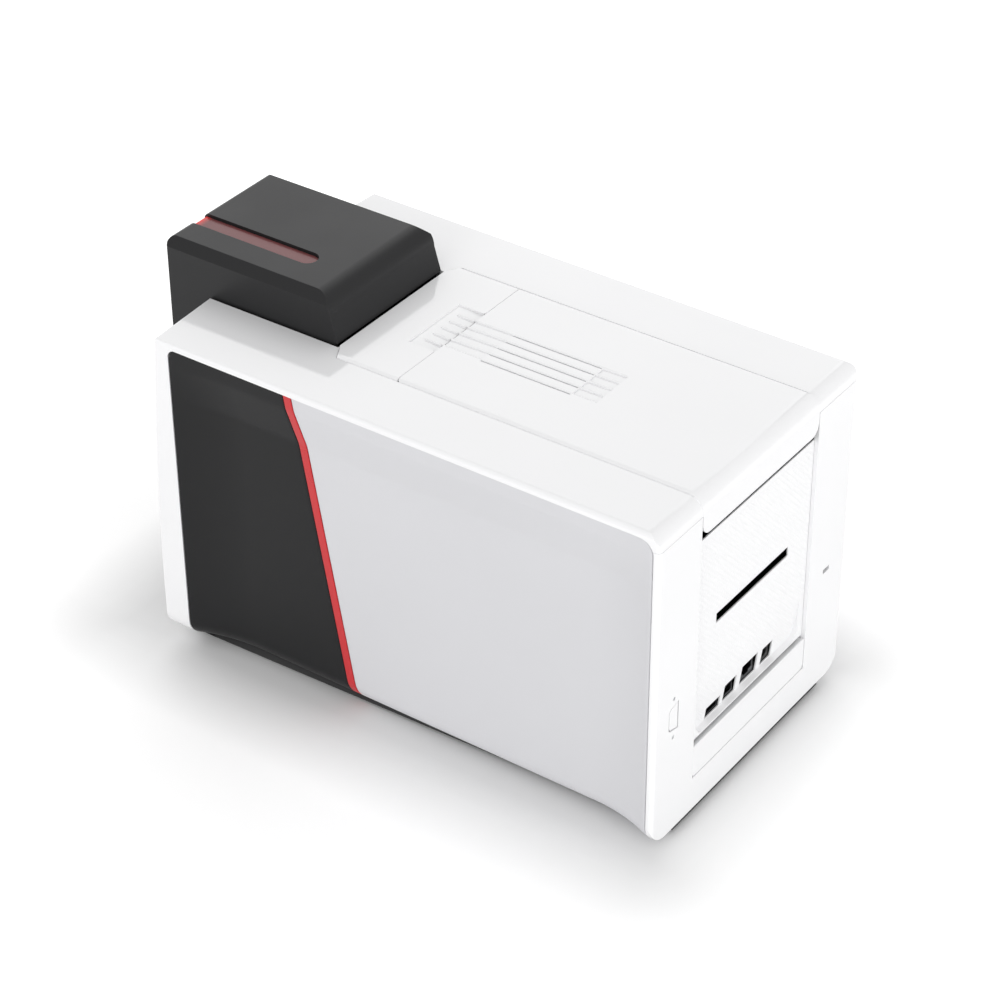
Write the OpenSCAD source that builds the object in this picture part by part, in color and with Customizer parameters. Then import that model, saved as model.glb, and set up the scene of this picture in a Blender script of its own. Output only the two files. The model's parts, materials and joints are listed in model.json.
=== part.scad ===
/* [Casing] */
// Width over the side rims
body_w = 205; // [198:1:216]
// Length of the deck, from the rear face to the wing tips
deck_l = 342.5; // [334:0.5:352]
// Height of the casing without its feet
body_h = 212; // [207:1:218]
// Wall of the white mouldings
wall = 3; // [2.6:0.1:3.2]
// Radius of the rim round the deck
rim_r = 4; // [3.5:0.1:5]
// Radius of the rear edge of the deck
rear_r = 10; // [8:0.5:12]
// Radius under the long sides
roll_r = 15; // [12:0.5:16]
// Radius at the foot of the front face
toe_r = 10; // [8:0.5:12]
// How far the foot of the front face stands ahead of the wing tips
toe = 6.9; // [6:0.1:8]
// How far the front face leans back over its height
lean = 9.3; // [8:0.1:10]
// Angle by which each wing is swept back towards the side
sweep = 3.3; // [2:0.1:4]
// Height of the deck's skirt over the rear frame
seam_down = 10.2; // [8:0.1:12]
// Joint line between neighbouring mouldings
joint = 0.3; // [0.2:0.05:0.4]

/* [Bay for feeder and tray] */
// Width of the bay between the wings
bay_w = 101.6; // [101.2:0.2:104]
// Length of the bay, from the wing tips to its rear wall
bay_l = 93.5; // [92:0.5:96]

/* [Side panels] */
// Depth of the dished side
dish_d = 8.75; // [6:0.25:10]
// Length of the front cove
cove_front = 45; // [38:1:50]
// Length of the rear cove
cove_rear = 40; // [32:1:50]
// Rim in front of a side panel
rim_front = 11; // [9:0.5:13]
// Rim behind a side panel
rim_rear = 4.2; // [3.8:0.1:5]
// Rim over a side panel
rim_top = 4.5; // [4:0.1:6]
// Depth of the upright lip under the rim
lip_d = 3.75; // [3.25:0.25:4.5]
// Height of the upright lip under the rim
lip_h = 11; // [9.5:0.5:14]
// Height of the slope below the lip
slope_h = 24.5; // [20:0.5:30]
// Corner radius at the front of a side panel
corner_front = 5.5; // [4:0.5:8]
// Corner radius at the rear of a side panel
corner_rear = 9; // [6:0.5:9]
// Thickness of a side panel
panel_t = 3; // [2.4:0.1:3.4]
// Distance from the rear face to the rear edge of the stripe, at its top
stripe_top = 246.4; // [238:0.2:252]
// Distance from the rear face to the rear edge of the stripe, at its foot
stripe_foot = 212.8; // [206:0.2:220]
// Width of the stripe at its top
stripe_w_top = 5.4; // [4:0.1:7]
// Width of the stripe at its foot
stripe_w_foot = 5.3; // [4:0.1:7]

/* [Lid and front strip] */
// Width of the lid and of the strip in front of it
lid_w = 120; // [118.4:0.2:120.4]
// Distance from the rear face to the seam in front of the lid
lid_l = 200.5; // [198:0.5:203]
// How far lid and strip stand over the deck
lid_rise = 1.2; // [0.8:0.1:1.6]
// Wall of the lid
lid_t = 2.5; // [2:0.1:2.8]
// Radius of the lid's rear edge
lid_r = 11; // [9:0.5:12]
// Radius of the lid's front corners, seen from above
lid_corner_r = 1.6; // [1:0.1:2]
// Radius along the long edges of lid and strip
lid_edge_r = 2.2; // [1.5:0.1:2.4]
// Distance of the lower edge of the lid's skirt below the deck
skirt_down = 23.9; // [22:0.1:26]
// Corner radius of the skirt
skirt_r = 7; // [5:0.5:8]
// Distance from the hinge axis of the lid to the rear face
lid_axis_in = 11.5; // [11.3:0.1:12]
// Distance from the hinge axis of the lid to the deck
lid_axis_down = 14; // [13.5:0.1:14.5]
// Radius of the lid's hinge pins
lid_pin_r = 2.5; // [2:0.1:2.8]
// Half width of the finger scoop
scoop_x = 24.3; // [22:0.1:27]
// Length of the finger scoop
scoop_l = 18.5; // [16:0.5:20]
// Depth of the finger scoop at the seam
scoop_d = 3.4; // [2.8:0.1:3.6]
// Number of ribs, and of vent slits
rib_n = 5; // [3:2:5]
// Pitch of the ribs and slits
rib_pitch = 8.2; // [7.5:0.1:9]
// Width of the groove that each slit lies in
groove_w = 3.4; // [2.8:0.1:4]
// Depth of a groove
groove_d = 1.4; // [1:0.1:1.5]
// Start of the grooves behind the seam
groove_start = 3.5; // [3:0.5:6]
// Length of a groove
groove_l = 100; // [94:1:104]
// Width of a vent slit
slit_w = 1.3; // [1:0.1:1.6]
// Start of the slits behind the seam
slit_start = 26.5; // [24:0.5:30]
// Length of a slit
slit_l = 60.5; // [50:0.5:66]

/* [Rear] */
// Width of the rear inset
inset_w = 121; // [119:0.5:122]
// Depth of the rear inset
inset_d = 2.5; // [2:0.1:2.8]
// Thickness of the rear panel
rear_t = 2.5; // [2:0.1:3]
// Distance of the upper edge of the rear panel below the deck
inset_down = 31.5; // [30.5:0.5:34]
// Height of the lower edge of the inset over the table
inset_foot = 27.5; // [24:0.5:30]
// Width of the card slot
slot_w = 76; // [70:1:80]
// Height of the card slot
slot_h = 6.4; // [5.5:0.1:7.5]
// Height of the middle of the card slot over the table
slot_z = 124.7; // [124:0.1:126]
// Height at which the socket pocket starts
pocket_top = 81; // [78:0.5:86]
// Height of the floor of the socket pocket
pocket_z = 53.5; // [53.2:0.1:53.8]
// Depth of the socket pocket at its floor
pocket_d = 7; // [6.5:0.1:7.5]
// Half width of the socket pocket
pocket_x = 55; // [52:0.5:56]
// Width of the network socket
network_w = 16.5; // [15.5:0.1:17]
// Height of the network socket
network_h = 13.2; // [12.5:0.1:13.6]
// Width of the host socket
host_w = 14.6; // [14:0.1:15.2]
// Height of the host socket
host_h = 7.2; // [6.8:0.1:7.6]
// Width of the device socket
device_w = 12.2; // [11.5:0.1:12.6]
// Height of the device socket
device_h = 11.4; // [10.8:0.1:11.8]
// Width of the power socket
power_w = 10.6; // [10:0.1:11]
// Height of the power socket
power_h = 11.4; // [10.8:0.1:11.8]
// Distance of the lock slot from the side
lock_in = 22; // [18.5:0.5:26]
// Height of the lock slot over the table
lock_z = 87.2; // [84:0.5:90]
// Distance of the serial cover from the side
serial_in = 19.5; // [16.5:0.5:22.5]
// Height of the middle of the serial cover over the table
serial_z = 86; // [82:0.5:90]

/* [Feeder] */
// Gap between the feeder and a wing
feeder_gap = 1.3; // [0.8:0.1:1.8]
// How far the feeder stands ahead of the wing tips
feeder_out = 33.5; // [30:0.5:36]
// How far the feeder stands over the deck
feeder_rise = 29; // [27:0.5:32]
// Distance of the joint between cover and base below the deck
split_down = 31; // [27:0.5:35]
// Height of the underside of the feeder base over the table
feeder_foot = 120; // [118.5:0.5:121]
// Wall of the feeder
feeder_t = 2.4; // [2:0.1:2.6]
// Thickness of the feeder's roof
roof_t = 5; // [4.6:0.1:6]
// Chamfer along the top of the feeder
feeder_chamfer = 5.5; // [4:0.5:7]
// Radius of the feeder's rear top edge
feeder_r = 13; // [11:0.5:14]
// Radius of the feeder's front top edge
feeder_nose_r = 4; // [3:0.5:6]
// Run of the draft on the feeder's rear face
feeder_draft = 4.5; // [3.5:0.1:5]
// Radius of the feeder's hinge pin
feeder_pin_r = 1.25; // [1:0.05:1.4]
// Distance of the light strip's middle from the middle of the feeder
strip_x = 20.35; // [16:0.05:24]
// Width of the light strip
strip_w = 12.9; // [10:0.1:14]
// Length of the light strip on the roof
strip_l = 89; // [80:1:96]
// Length of the light strip down the front
strip_down = 46; // [40:1:54]
// Depth of the light strip below the surface
strip_d = 2; // [1.4:0.1:2.2]
// Width of a card
card_w = 54; // [54:0.1:54.4]
// Length of a card
card_l = 85.6; // [85.6:0.1:86]
// Play of a card in the magazine, on each side
card_play = 0.8; // [0.6:0.1:1]
// Room over the press plate at the top of its travel
press_room = 19.5; // [17.5:0.5:29]

/* [Output] */
// How far the lip of the tray stands ahead of the wing tips
tray_out = 38.5; // [36.5:0.5:41]
// Gap between the output tray and a wing
tray_gap = 4.3; // [4:0.1:6]
// Height of the side walls of the tray
tray_h = 44; // [36:1:52]
// Height of the lip of the tray
lip_front_h = 30; // [24:1:34]
// Half width of the thumb cut in the lip
thumb_r = 14; // [10:0.5:17]
// Wall of the output tray
tray_t = 2.5; // [2:0.1:3]
// Travel of the output tray
tray_travel = 30; // [20:1:36]

/* [Mechanism] */
// Distance between the chassis plates
chassis_w = 123; // [122.4:0.2:124]
// Thickness of a chassis plate
chassis_t = 2; // [1.5:0.1:2.4]
// Radius of a transport roller
roller_r = 8; // [7:0.5:8.5]
// Length of a transport roller
roller_l = 56; // [50:1:57]
// Radius of a roller shaft
shaft_r = 3; // [2.5:0.1:3.4]
// Radius of a roller pulley
pulley_r = 9; // [8:0.5:9.5]
// Radius of the motor pulley
motor_pulley_r = 6; // [5.5:0.5:7]
// Width of a pulley
pulley_w = 7; // [6:0.5:7.5]
// Thickness of the drive belt
belt_t = 1.4; // [1:0.1:1.6]
// Running clearance of a shaft in its bearing
run = 0.05; // [0.02:0.01:0.08]
// Side of the square motor
motor_w = 42; // [39:1:42.5]
// Length of the motor
motor_l = 37; // [33:1:40]
// Radius of a ribbon spindle
hub_r = 9; // [8:0.5:10]

/* [Controls and feet] */
// Radius of the push button
button_r = 5; // [4:0.25:5.5]
// Travel of the push button
button_travel = 1.2; // [0.8:0.1:1.5]
// Distance of the controls from the side
control_in = 24.5; // [22.5:0.5:27.5]
// Distance of the button below the deck
button_down = 25; // [23:0.5:29]
// Radius of a foot
foot_r = 8; // [7:0.5:9]
// Height of a foot
foot_h = 5; // [4:0.5:6]

/* [Hidden] */
$fn = 64;
eps = 0.01;
big = 600;

// Main planes, with the origin under the middle of the whole length
rear_y = (deck_l + tray_out) / 2;
tip_y = rear_y - deck_l;
foot_y = tip_y - toe;
bay_y = tip_y + bay_l;
z_bot = foot_h;
z_deck = foot_h + body_h;
z_floor = z_bot + wall;
z_bend = z_bot + 22.5;
half_w = body_w / 2;
half_bay = bay_w / 2;
seam_h = z_deck - seam_down;
inset_top = z_deck - inset_down;
lock_x = half_w - lock_in;
serial_x = half_w - serial_in;
lid_z = z_deck + lid_rise;
skirt_z = z_deck - skirt_down;
lid_y = rear_y - lid_l;
half_lid = lid_w / 2;

// Outline of a side panel
panel_y0 = tip_y + rim_front;
panel_y1 = rear_y - rim_rear;
panel_z = z_deck - rim_top;
slope_z = panel_z - lip_h;
kink_z = slope_z - slope_h;
panel_in = half_w - dish_d - roll_r - 0.75;

// Strip between bay and lid
strip_y0 = bay_y + 0.8;
strip_side_y = strip_y0 + 5.2;
strip_front_x = half_lid - 10;
strip_t = 5;
strip_z = lid_z - strip_t;

// Lid hinge
lid_axis_y = rear_y - lid_axis_in;
lid_axis_z = z_deck - lid_axis_down;
knuckle_r = lid_pin_r + 3.5;
knuckle_x0 = 48;
knuckle_x1 = 56;
frame_x = 56;
frame_z = lid_z - lid_t;

// Feeder
half_feeder = half_bay - feeder_gap;
feeder_y0 = tip_y - feeder_out;
feeder_y1 = bay_y - 1.5;
feeder_z = z_deck + feeder_rise;
hinge_y = feeder_y1 - 7;
hinge_z = z_deck + 4;
feeder_split = z_deck - split_down;
cover_z = feeder_split + 0.4;
lip_z = z_deck + 0.7;
base_z = feeder_split - 0.4;
mag_floor = feeder_foot + 7;
mag_half = card_w / 2 + card_play;
mag_t = 3.4;
mag_y1 = feeder_y1 - 6;
mag_y0 = mag_y1 - mag_t - card_l - 2 * card_play;
mag_top = z_deck - 9;
press_z = mag_floor + 1.5;
press_travel = mag_top - press_z - press_room;
press_y = (mag_y0 + mag_y1) / 2;
ear_x1 = half_feeder - 5.5;
ear_x0 = ear_x1 - 2.8;
knuckle_in = ear_x0 - 10.2;
light_t = 1;

// Output tray
tray_half = half_bay - tray_gap;
tray_y0 = tip_y - tray_out;
tray_y1 = bay_y - 7;
hopper_y0 = tip_y - 4;
hopper_y1 = bay_y - joint;
hopper_floor = 18;
tray_z = hopper_floor + joint;
exit_z = 96;

// Chassis and card path
half_chassis = chassis_w / 2;
chassis_y0 = bay_y + 6.5;
chassis_y1 = rear_y - 14.5;
chassis_top = z_deck - 11;
path_z = slot_z - 1;
roller_z = path_z - roller_r;
pick_y = press_y;
pick_z = mag_floor + 0.3 - roller_r;
feed_y = bay_y + 28.5;
platen_y = rear_y - 150.5;
exit_y = rear_y - 65.5;
motor_y = rear_y - 170.5;
motor_z = 42;
pulley_x = half_chassis + chassis_t + 2;
guide_half = mag_half + 2.2;
takeup_y = rear_y - 187;
supply_y = rear_y - 96;
spool_z = chassis_top - 46;
rollers = [[pick_y, pick_z], [feed_y, roller_z], [platen_y, roller_z], [exit_y, roller_z]];
board_z = pocket_z - 1.1;
board_t = 1.6;
board_y0 = rear_y - 120;
board_y1 = rear_y - inset_d - pocket_d - 3.2;

head_top = path_z + 17;

// Controls
control_x = half_w - control_in;
button_z = z_deck - button_down;
lamp_r = 1.6;
switch_y = control_y(button_z) + 10 + button_travel + 2.6;

// Sockets: middle, width and height of each
socket_face = rear_y - 7;
host_x = 32.9;
device_x = 15.2;
network_x = -5.2;
power_x = -24.6;
sockets = [
  [host_x, host_w, host_h],
  [device_x, device_w, device_h],
  [network_x, network_w, network_h],
  [power_x, power_w, power_h]
];

white = "#F4F4F5";
black = "#323232";
grey = "#D9D9DB";
red = "#CC3B40";

// ---------- helpers ----------

module along_x(x0, x1) {
  translate([x0, 0, 0]) rotate([90, 0, 90]) linear_extrude(x1 - x0) children();
}

module along_y(y0, y1) {
  translate([0, y1, 0]) rotate([90, 0, 0]) linear_extrude(y1 - y0) children();
}

module along_z(z0, z1) {
  translate([0, 0, z0]) linear_extrude(z1 - z0) children();
}

module both_sides() {
  children();
  mirror([1, 0, 0]) children();
}

module block(x0, x1, y0, y1, z0, z1) {
  translate([x0, y0, z0]) cube([x1 - x0, y1 - y0, z1 - z0]);
}

module rod_x(x0, x1, y, z, r) {
  translate([x0, y, z]) rotate([0, 90, 0]) cylinder(h = x1 - x0, r = r);
}

module rod_y(x, y0, y1, z, r) {
  translate([x, y1, z]) rotate([90, 0, 0]) cylinder(h = y1 - y0, r = r);
}

// Rectangle with its own radius at each corner, counted from the lower left one
module rounded(x0, y0, x1, y1, r) {
  spots = [[x0, y0, 1, 1], [x1, y0, -1, 1], [x1, y1, -1, -1], [x0, y1, 1, -1]];
  difference() {
    translate([x0, y0]) square([x1 - x0, y1 - y0]);
    for (k = [0:3]) {
      if (r[k] > 0) {
        s = spots[k];
        translate([s[0] + (s[2] < 0 ? -r[k] : -eps), s[1] + (s[3] < 0 ? -r[k] : -eps)])
          square(r[k] + eps);
      }
    }
  }
  for (k = [0:3]) {
    if (r[k] > 0) {
      s = spots[k];
      translate([s[0] + s[2] * r[k], s[1] + s[3] * r[k]]) circle(r[k]);
    }
  }
}

// Points of an arc about (cx, cy)
function arc(cx, cy, r, a0, a1, n) =
  [for (k = [0:n]) [cx + r * cos(a0 + (a1 - a0) * k / n), cy + r * sin(a0 + (a1 - a0) * k / n)]];

// ---------- body form ----------

// Front face of a wing, seen from the side: upright at its foot and leaning back above
function face_y(z, i) =
  foot_y + i + lean * pow(max(0, z - z_bend) / (z_deck - z_bend), 2);

function front_profile(i) =
  let (r = max(rim_r - i, 0.5), t = max(toe_r - i, 0.5), top = z_deck - i, low = z_bot + i,
       y_top = face_y(top - r, i))
  concat(
    [[big, top], [y_top + r, top]],
    [for (p = arc(y_top + r, top - r, r, 105, 175, 5)) p],
    [for (k = [9:-1:0]) let (z = z_bend + (top - r - z_bend) * k / 10) [face_y(z, i), z]],
    arc(foot_y + i + t, low + t, t, 180, 270, 6),
    [[big, low]]
  );

// Everything behind the two swept front faces
module behind_front(i) {
  both_sides() {
    intersection() {
      block(0, big, -big, big, -big, big);
      translate([half_w, foot_y, 0]) rotate([0, 0, sweep]) translate([0, -foot_y, 0])
        along_x(-big / 2, big / 2) polygon(front_profile(i));
    }
  }
}

module plan(i) {
  difference() {
    rounded(-half_w + i, -big / 2, half_w - i, rear_y - i, [0, 0, 3, 3]);
    translate([-half_bay - i, -big]) square([bay_w + 2 * i, big + bay_y + i]);
  }
}

module end_outline(i) {
  rounded(-half_w + i, z_bot + i, half_w - i, z_deck - i,
    [roll_r - i, roll_r - i, max(rim_r - i, 0.5), max(rim_r - i, 0.5)]);
}

module rear_outline(i) {
  rounded(-big / 2, z_bot - 20, rear_y - i, z_deck - i, [0, 0, rear_r - i, 0]);
}

module body_form(i) {
  intersection() {
    along_z(z_bot + i, z_deck - i) plan(i);
    along_y(-big / 2, big / 2) end_outline(i);
    along_x(-half_w, half_w) rear_outline(i);
    behind_front(i);
  }
}

// Opening in the side for the panels, through the skin only
module side_window() {
  both_sides() along_x(panel_in - 8, half_w + 1)
    rounded(panel_y0 - joint, -20, panel_y1 + joint, panel_z + joint,
      [0, 0, corner_rear, corner_front]);
}

// ---------- casing ----------

module base_tray() color(black) {
  plate_x = panel_in - joint;
  block(-plate_x, plate_x, panel_y0 + joint, rear_y - 7.8, z_bot, z_floor);
  block(-half_bay + joint, half_bay - joint, hopper_y0 + 1, panel_y0 + joint + eps, z_bot, z_floor);
  for (y = [chassis_y0 + 30, chassis_y1 - 20]) {
    block(-half_chassis + 2, half_chassis - 2, y, y + 2.5, z_floor - eps, z_floor + 5);
  }
}

module rubber_feet() color(black) {
  for (x = [-62, 62], y = [panel_y0 + 16, rear_y - 25.5]) {
    translate([x, y, 0]) cylinder(h = foot_h, r1 = foot_r - 0.8, r2 = foot_r);
  }
}

module strip_plan(g) {
  polygon([
    [-strip_front_x - g / 2, strip_y0 - g], [strip_front_x + g / 2, strip_y0 - g],
    [half_lid + g, strip_side_y - g / 2], [half_lid + g, lid_y],
    [-half_lid - g, lid_y], [-half_lid - g, strip_side_y - g / 2]
  ]);
}

module deck_shell() color(white) {
  bridge_z = strip_z - 3;
  difference() {
    body_form(0);
    body_form(wall);
    difference() {
      block(-big, big, panel_y0, big, -big, seam_h);
      block(-half_bay - wall - eps, half_bay + wall + eps, -big, bay_y + wall + eps, z_floor + joint, big);
    }
    side_window();
    along_z(strip_z - eps, z_deck + 5) strip_plan(joint);
    block(-half_lid - joint, half_lid + joint, lid_y - 1, big, seam_h - 20, big);
    // card window and tray exit in the rear wall of the bay
    block(-guide_half, guide_half, bay_y - 1, bay_y + wall + 1, path_z - 1.5, mag_floor + 4);
    block(-guide_half, guide_half, bay_y - 1, bay_y + wall + 1, exit_z, exit_z + 14);
    // holes for the pick roller's shaft, the button and the lamps
    rod_x(-half_bay - wall - 1, -half_bay + 1, pick_y, pick_z, shaft_r + run);
    rod_x(half_bay - 1, half_bay + wall + 1, pick_y, pick_z, shaft_r + run);
    rod_y(control_x, -big / 2, panel_y0 - 2, button_z, button_r + joint);
    for (k = [0, 1]) {
      rod_y(control_x, -big / 2, panel_y0 - 2, lamp_z(k), lamp_r + run);
    }
  }
  // flange over the upper edge of the side panels
  both_sides() block(panel_in + roll_r, half_w - wall + eps, panel_y0 - 2, rear_y - 6,
    panel_z + joint, z_deck - wall + eps);
  // sunk bridge that carries the strip
  block(-half_lid - 3.6, half_lid + 3.6, bay_y + eps, lid_y - 2, bridge_z, strip_z);
  both_sides() block(half_lid + 0.6, half_lid + 3.6, strip_side_y, lid_y - 2, bridge_z, z_deck - wall + eps);
}

module front_strip() color(white) {
  y0 = lid_y - joint - scoop_l;
  y1 = lid_y - joint;
  difference() {
    intersection() {
      along_z(strip_z, lid_z) difference() {
        strip_plan(0);
        translate([-big / 2, y1]) square(big);
      }
      along_y(-big / 2, big / 2) rounded(-half_lid, strip_z, half_lid, lid_z,
        [0, 0, lid_edge_r, lid_edge_r]);
    }
    along_x(-scoop_x, scoop_x) polygon([
      [y0, lid_z + eps], [y0 + 1.5, lid_z - 0.7], [y1 + 1, lid_z - scoop_d], [y1 + 1, lid_z + 1]
    ]);
  }
  for (k = [0:rib_n - 1]) {
    x = (k - (rib_n - 1) / 2) * rib_pitch;
    along_x(x - 0.6, x + 0.6) polygon([
      [y0 + 3.5, lid_z - 1.8], [y0 + 4, lid_z - 0.7], [y1, lid_z - scoop_d + 1.5],
      [y1, lid_z - scoop_d - 0.5]
    ]);
  }
}

module rear_frame() color(white) {
  half_in = inset_w / 2 + joint;
  difference() {
    union() {
      difference() {
        body_form(0);
        body_form(wall);
        block(-big, big, -big, rear_y - 7.5, -big, big);
        block(-big, big, -big, big, seam_h - joint, big);
      }
      // ledge round the inset
      difference() {
        block(-half_in - 3, half_in + 3, rear_y - 7.5, rear_y - wall + eps, inset_foot - 3, inset_top - 4);
        block(-half_in + 3.5, half_in - 3.5, -big, big, inset_foot + 3, big);
      }
    }
    block(-half_in, half_in, rear_y - inset_d - rear_t, big, inset_foot, big);
    side_window();
    // lock slot
    block(-lock_x - 3.5, -lock_x + 3.5, rear_y - wall - 1, big, lock_z - 1.5, lock_z + 1.5);
    // opening behind the serial cover
    along_y(rear_y - wall - 1, rear_y + 1) translate([serial_x, serial_z]) serial_outline(joint);
    for (s = [-1, 1]) {
      rod_y(serial_x, rear_y - wall - 1, rear_y + 1, serial_z + s * 13.4, 1.2 + run);
    }
  }
}

// D-shaped outline standing on end
module serial_outline(g) {
  polygon([
    [-4.6 - g, -9.2 - g], [3.2 + g, -7.4 - g], [4.6 + g, -5.6 - g], [4.6 + g, 5.6 + g],
    [3.2 + g, 7.4 + g], [-4.6 - g, 9.2 + g]
  ]);
}

module serial_cover() color(white) {
  along_y(rear_y - wall, rear_y) translate([serial_x, serial_z]) serial_outline(0);
}

module serial_screws() color("silver") {
  for (s = [-1, 1]) {
    rod_y(serial_x, rear_y - wall - 1, rear_y - 0.3, serial_z + s * 13.4, 1.2);
  }
}

// Wedge between the plane of the rear panel and the tilted pocket wall, g deeper
module pocket(g) {
  y1 = rear_y - inset_d;
  along_x(-pocket_x - g, pocket_x + g) polygon([
    [y1 + 1, pocket_top], [y1 - g, pocket_top + g * 0.3], [y1 - pocket_d - g, pocket_z - g], [y1 + 1, pocket_z - g]
  ]);
}

module pocket_mouth(g) {
  along_y(-big / 2, big / 2) rounded(-pocket_x - g, pocket_z - g, pocket_x + g, big / 2,
    [7 + g, 7 + g, 0, 0]);
}

module rear_panel() color(white) {
  half_in = inset_w / 2;
  y1 = rear_y - inset_d;
  difference() {
    union() {
      block(-half_in, half_in, y1 - rear_t, y1, pocket_z - 2, inset_top);
      intersection() {
        pocket(2);
        pocket_mouth(2);
        block(-half_in, half_in, -big, y1, -big, big);
      }
    }
    intersection() {
      pocket(0);
      pocket_mouth(0);
    }
    block(-slot_w / 2, slot_w / 2, y1 - rear_t - 1, y1 + 1, slot_z - slot_h / 2, slot_z + slot_h / 2);
    for (s = sockets) {
      block(s[0] - s[1] / 2 - joint, s[0] + s[1] / 2 + joint, y1 - pocket_d - 4, y1 + 1,
        pocket_z + 0.5, pocket_z + 0.5 + s[2] + 2 * joint);
    }
  }
}

module lower_rear_panel() color(white) {
  half_in = inset_w / 2;
  y1 = rear_y - inset_d;
  along_y(y1 - rear_t, y1)
    rounded(-half_in, inset_foot + joint, half_in, pocket_z - 4, [3, 3, 0.6, 0.6]);
}

// ---------- sockets ----------

// Shell of a socket standing on the main board, open to the rear
module socket_shell(s, depth, t) {
  z0 = pocket_z + 0.5 + joint;
  difference() {
    block(s[0] - s[1] / 2, s[0] + s[1] / 2, socket_face - depth, socket_face, z0, z0 + s[2]);
    block(s[0] - s[1] / 2 + t, s[0] + s[1] / 2 - t, socket_face - depth + 2, socket_face + 1,
      z0 + t, z0 + s[2] - t);
  }
}

module socket_tongue(s, w, h, depth) {
  z0 = pocket_z + 0.5 + joint + s[2] / 2;
  block(s[0] - w / 2, s[0] + w / 2, socket_face - depth + 1, socket_face - 1.5, z0 - h / 2, z0 + h / 2);
}

module usb_host_socket() color("silver") {
  socket_shell(sockets[0], 14, 0.6);
  socket_tongue(sockets[0], 11, 1.8, 14);
}

module usb_device_socket() color("silver") {
  socket_shell(sockets[1], 15, 1.4);
  socket_tongue(sockets[1], 5.6, 3.2, 15);
}

module network_socket() color("silver") {
  s = sockets[2];
  z0 = pocket_z + 0.5 + joint;
  difference() {
    block(s[0] - s[1] / 2, s[0] + s[1] / 2, socket_face - 20, socket_face, z0, z0 + s[2]);
    block(s[0] - 6, s[0] + 6, socket_face - 12, socket_face + 1, z0 + 3.6, z0 + s[2] - 1.4);
    block(s[0] - 3, s[0] + 3, socket_face - 12, socket_face + 1, z0 + 1.8, z0 + s[2] - 1.4);
  }
}

module power_socket() color(black) {
  s = sockets[3];
  z = pocket_z + 0.5 + joint + s[2] / 2;
  difference() {
    block(s[0] - s[1] / 2, s[0] + s[1] / 2, socket_face - 14, socket_face, z - s[2] / 2, z + s[2] / 2);
    rod_y(s[0], socket_face - 11, socket_face + 1, z, 3.6);
  }
  rod_y(s[0], socket_face - 11.5, socket_face - 1, z, 1.1);
}

// ---------- side panels ----------

function ease(t) = 1 - pow(1 - min(max(t, 0), 1), 2);

// Depth of the dish at a point of the side
function dish(y, z) =
  min(ease((y - panel_y0) / cove_front), ease((panel_y1 - y) / cove_rear))
  * (lip_d + (dish_d - lip_d) * min(max((slope_z - z) / slope_h, 0), 1));

// Front and rear edges of the whole panel field, rounded at its top corners
function field_y0(z) =
  z <= panel_z - corner_front ? panel_y0
  : panel_y0 + corner_front - sqrt(max(0, pow(corner_front, 2) - pow(z - panel_z + corner_front, 2)));

function field_y1(z) =
  z <= panel_z - corner_rear ? panel_y1
  : panel_y1 - corner_rear + sqrt(max(0, pow(corner_rear, 2) - pow(z - panel_z + corner_rear, 2)));

// Edges of the stripe
function stripe_y1(z) =
  let (t = (panel_z - z) / (panel_z - z_bot - roll_r)) rear_y - stripe_top + (stripe_top - stripe_foot) * t;
function stripe_y0(z) =
  let (t = (panel_z - z) / (panel_z - z_bot - roll_r)) stripe_y1(z) - stripe_w_top
    + (stripe_w_top - stripe_w_foot) * t;

// Stations down the side: height, and angle in the roll under the side
stations = concat(
  [for (a = [90:-18:0]) [panel_z - 9 + 9 * sin(a), 0]],
  [for (k = [0:4]) [slope_z - slope_h * k / 4, 0]],
  [for (k = [1:3]) [kink_z + (z_bot + roll_r - kink_z) * k / 3, 0]],
  [for (a = [15:15:90]) [z_bot + roll_r, a]]
);

// Point on the side, t below its outer surface
function side_point(y, st, t) =
  let (x = half_w - dish(y, st[0]), r = roll_r - t)
  [x - roll_r + r * cos(st[1]), y, st[0] - r * sin(st[1])];

function side_row(st, ys, t) = [for (y = ys) side_point(y, st, t)];

function foot_row(ys, t) = [for (y = ys) [panel_in, y, z_bot + t]];

// Closed skin between two grids of points
module skin(outer, inner) {
  n = len(outer);
  m = len(outer[0]);
  points = concat([for (row = outer) for (p = row) p], [for (row = inner) for (p = row) p]);
  id = function(k, i, j) k * n * m + i * m + j;
  quad = function(a, b, c, d) [[a, b, c], [a, c, d]];
  faces = concat(
    [for (i = [0:n - 2], j = [0:m - 2])
      each quad(id(0, i, j), id(0, i, j + 1), id(0, i + 1, j + 1), id(0, i + 1, j))],
    [for (i = [0:n - 2], j = [0:m - 2])
      each quad(id(1, i, j), id(1, i + 1, j), id(1, i + 1, j + 1), id(1, i, j + 1))],
    [for (j = [0:m - 2]) each quad(id(0, 0, j + 1), id(0, 0, j), id(1, 0, j), id(1, 0, j + 1))],
    [for (j = [0:m - 2])
      each quad(id(0, n - 1, j), id(0, n - 1, j + 1), id(1, n - 1, j + 1), id(1, n - 1, j))],
    [for (i = [0:n - 2]) each quad(id(0, i, 0), id(0, i + 1, 0), id(1, i + 1, 0), id(1, i, 0))],
    [for (i = [0:n - 2])
      each quad(id(0, i + 1, m - 1), id(0, i, m - 1), id(1, i, m - 1), id(1, i + 1, m - 1))]
  );
  polyhedron(points = points, faces = faces);
}

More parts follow.
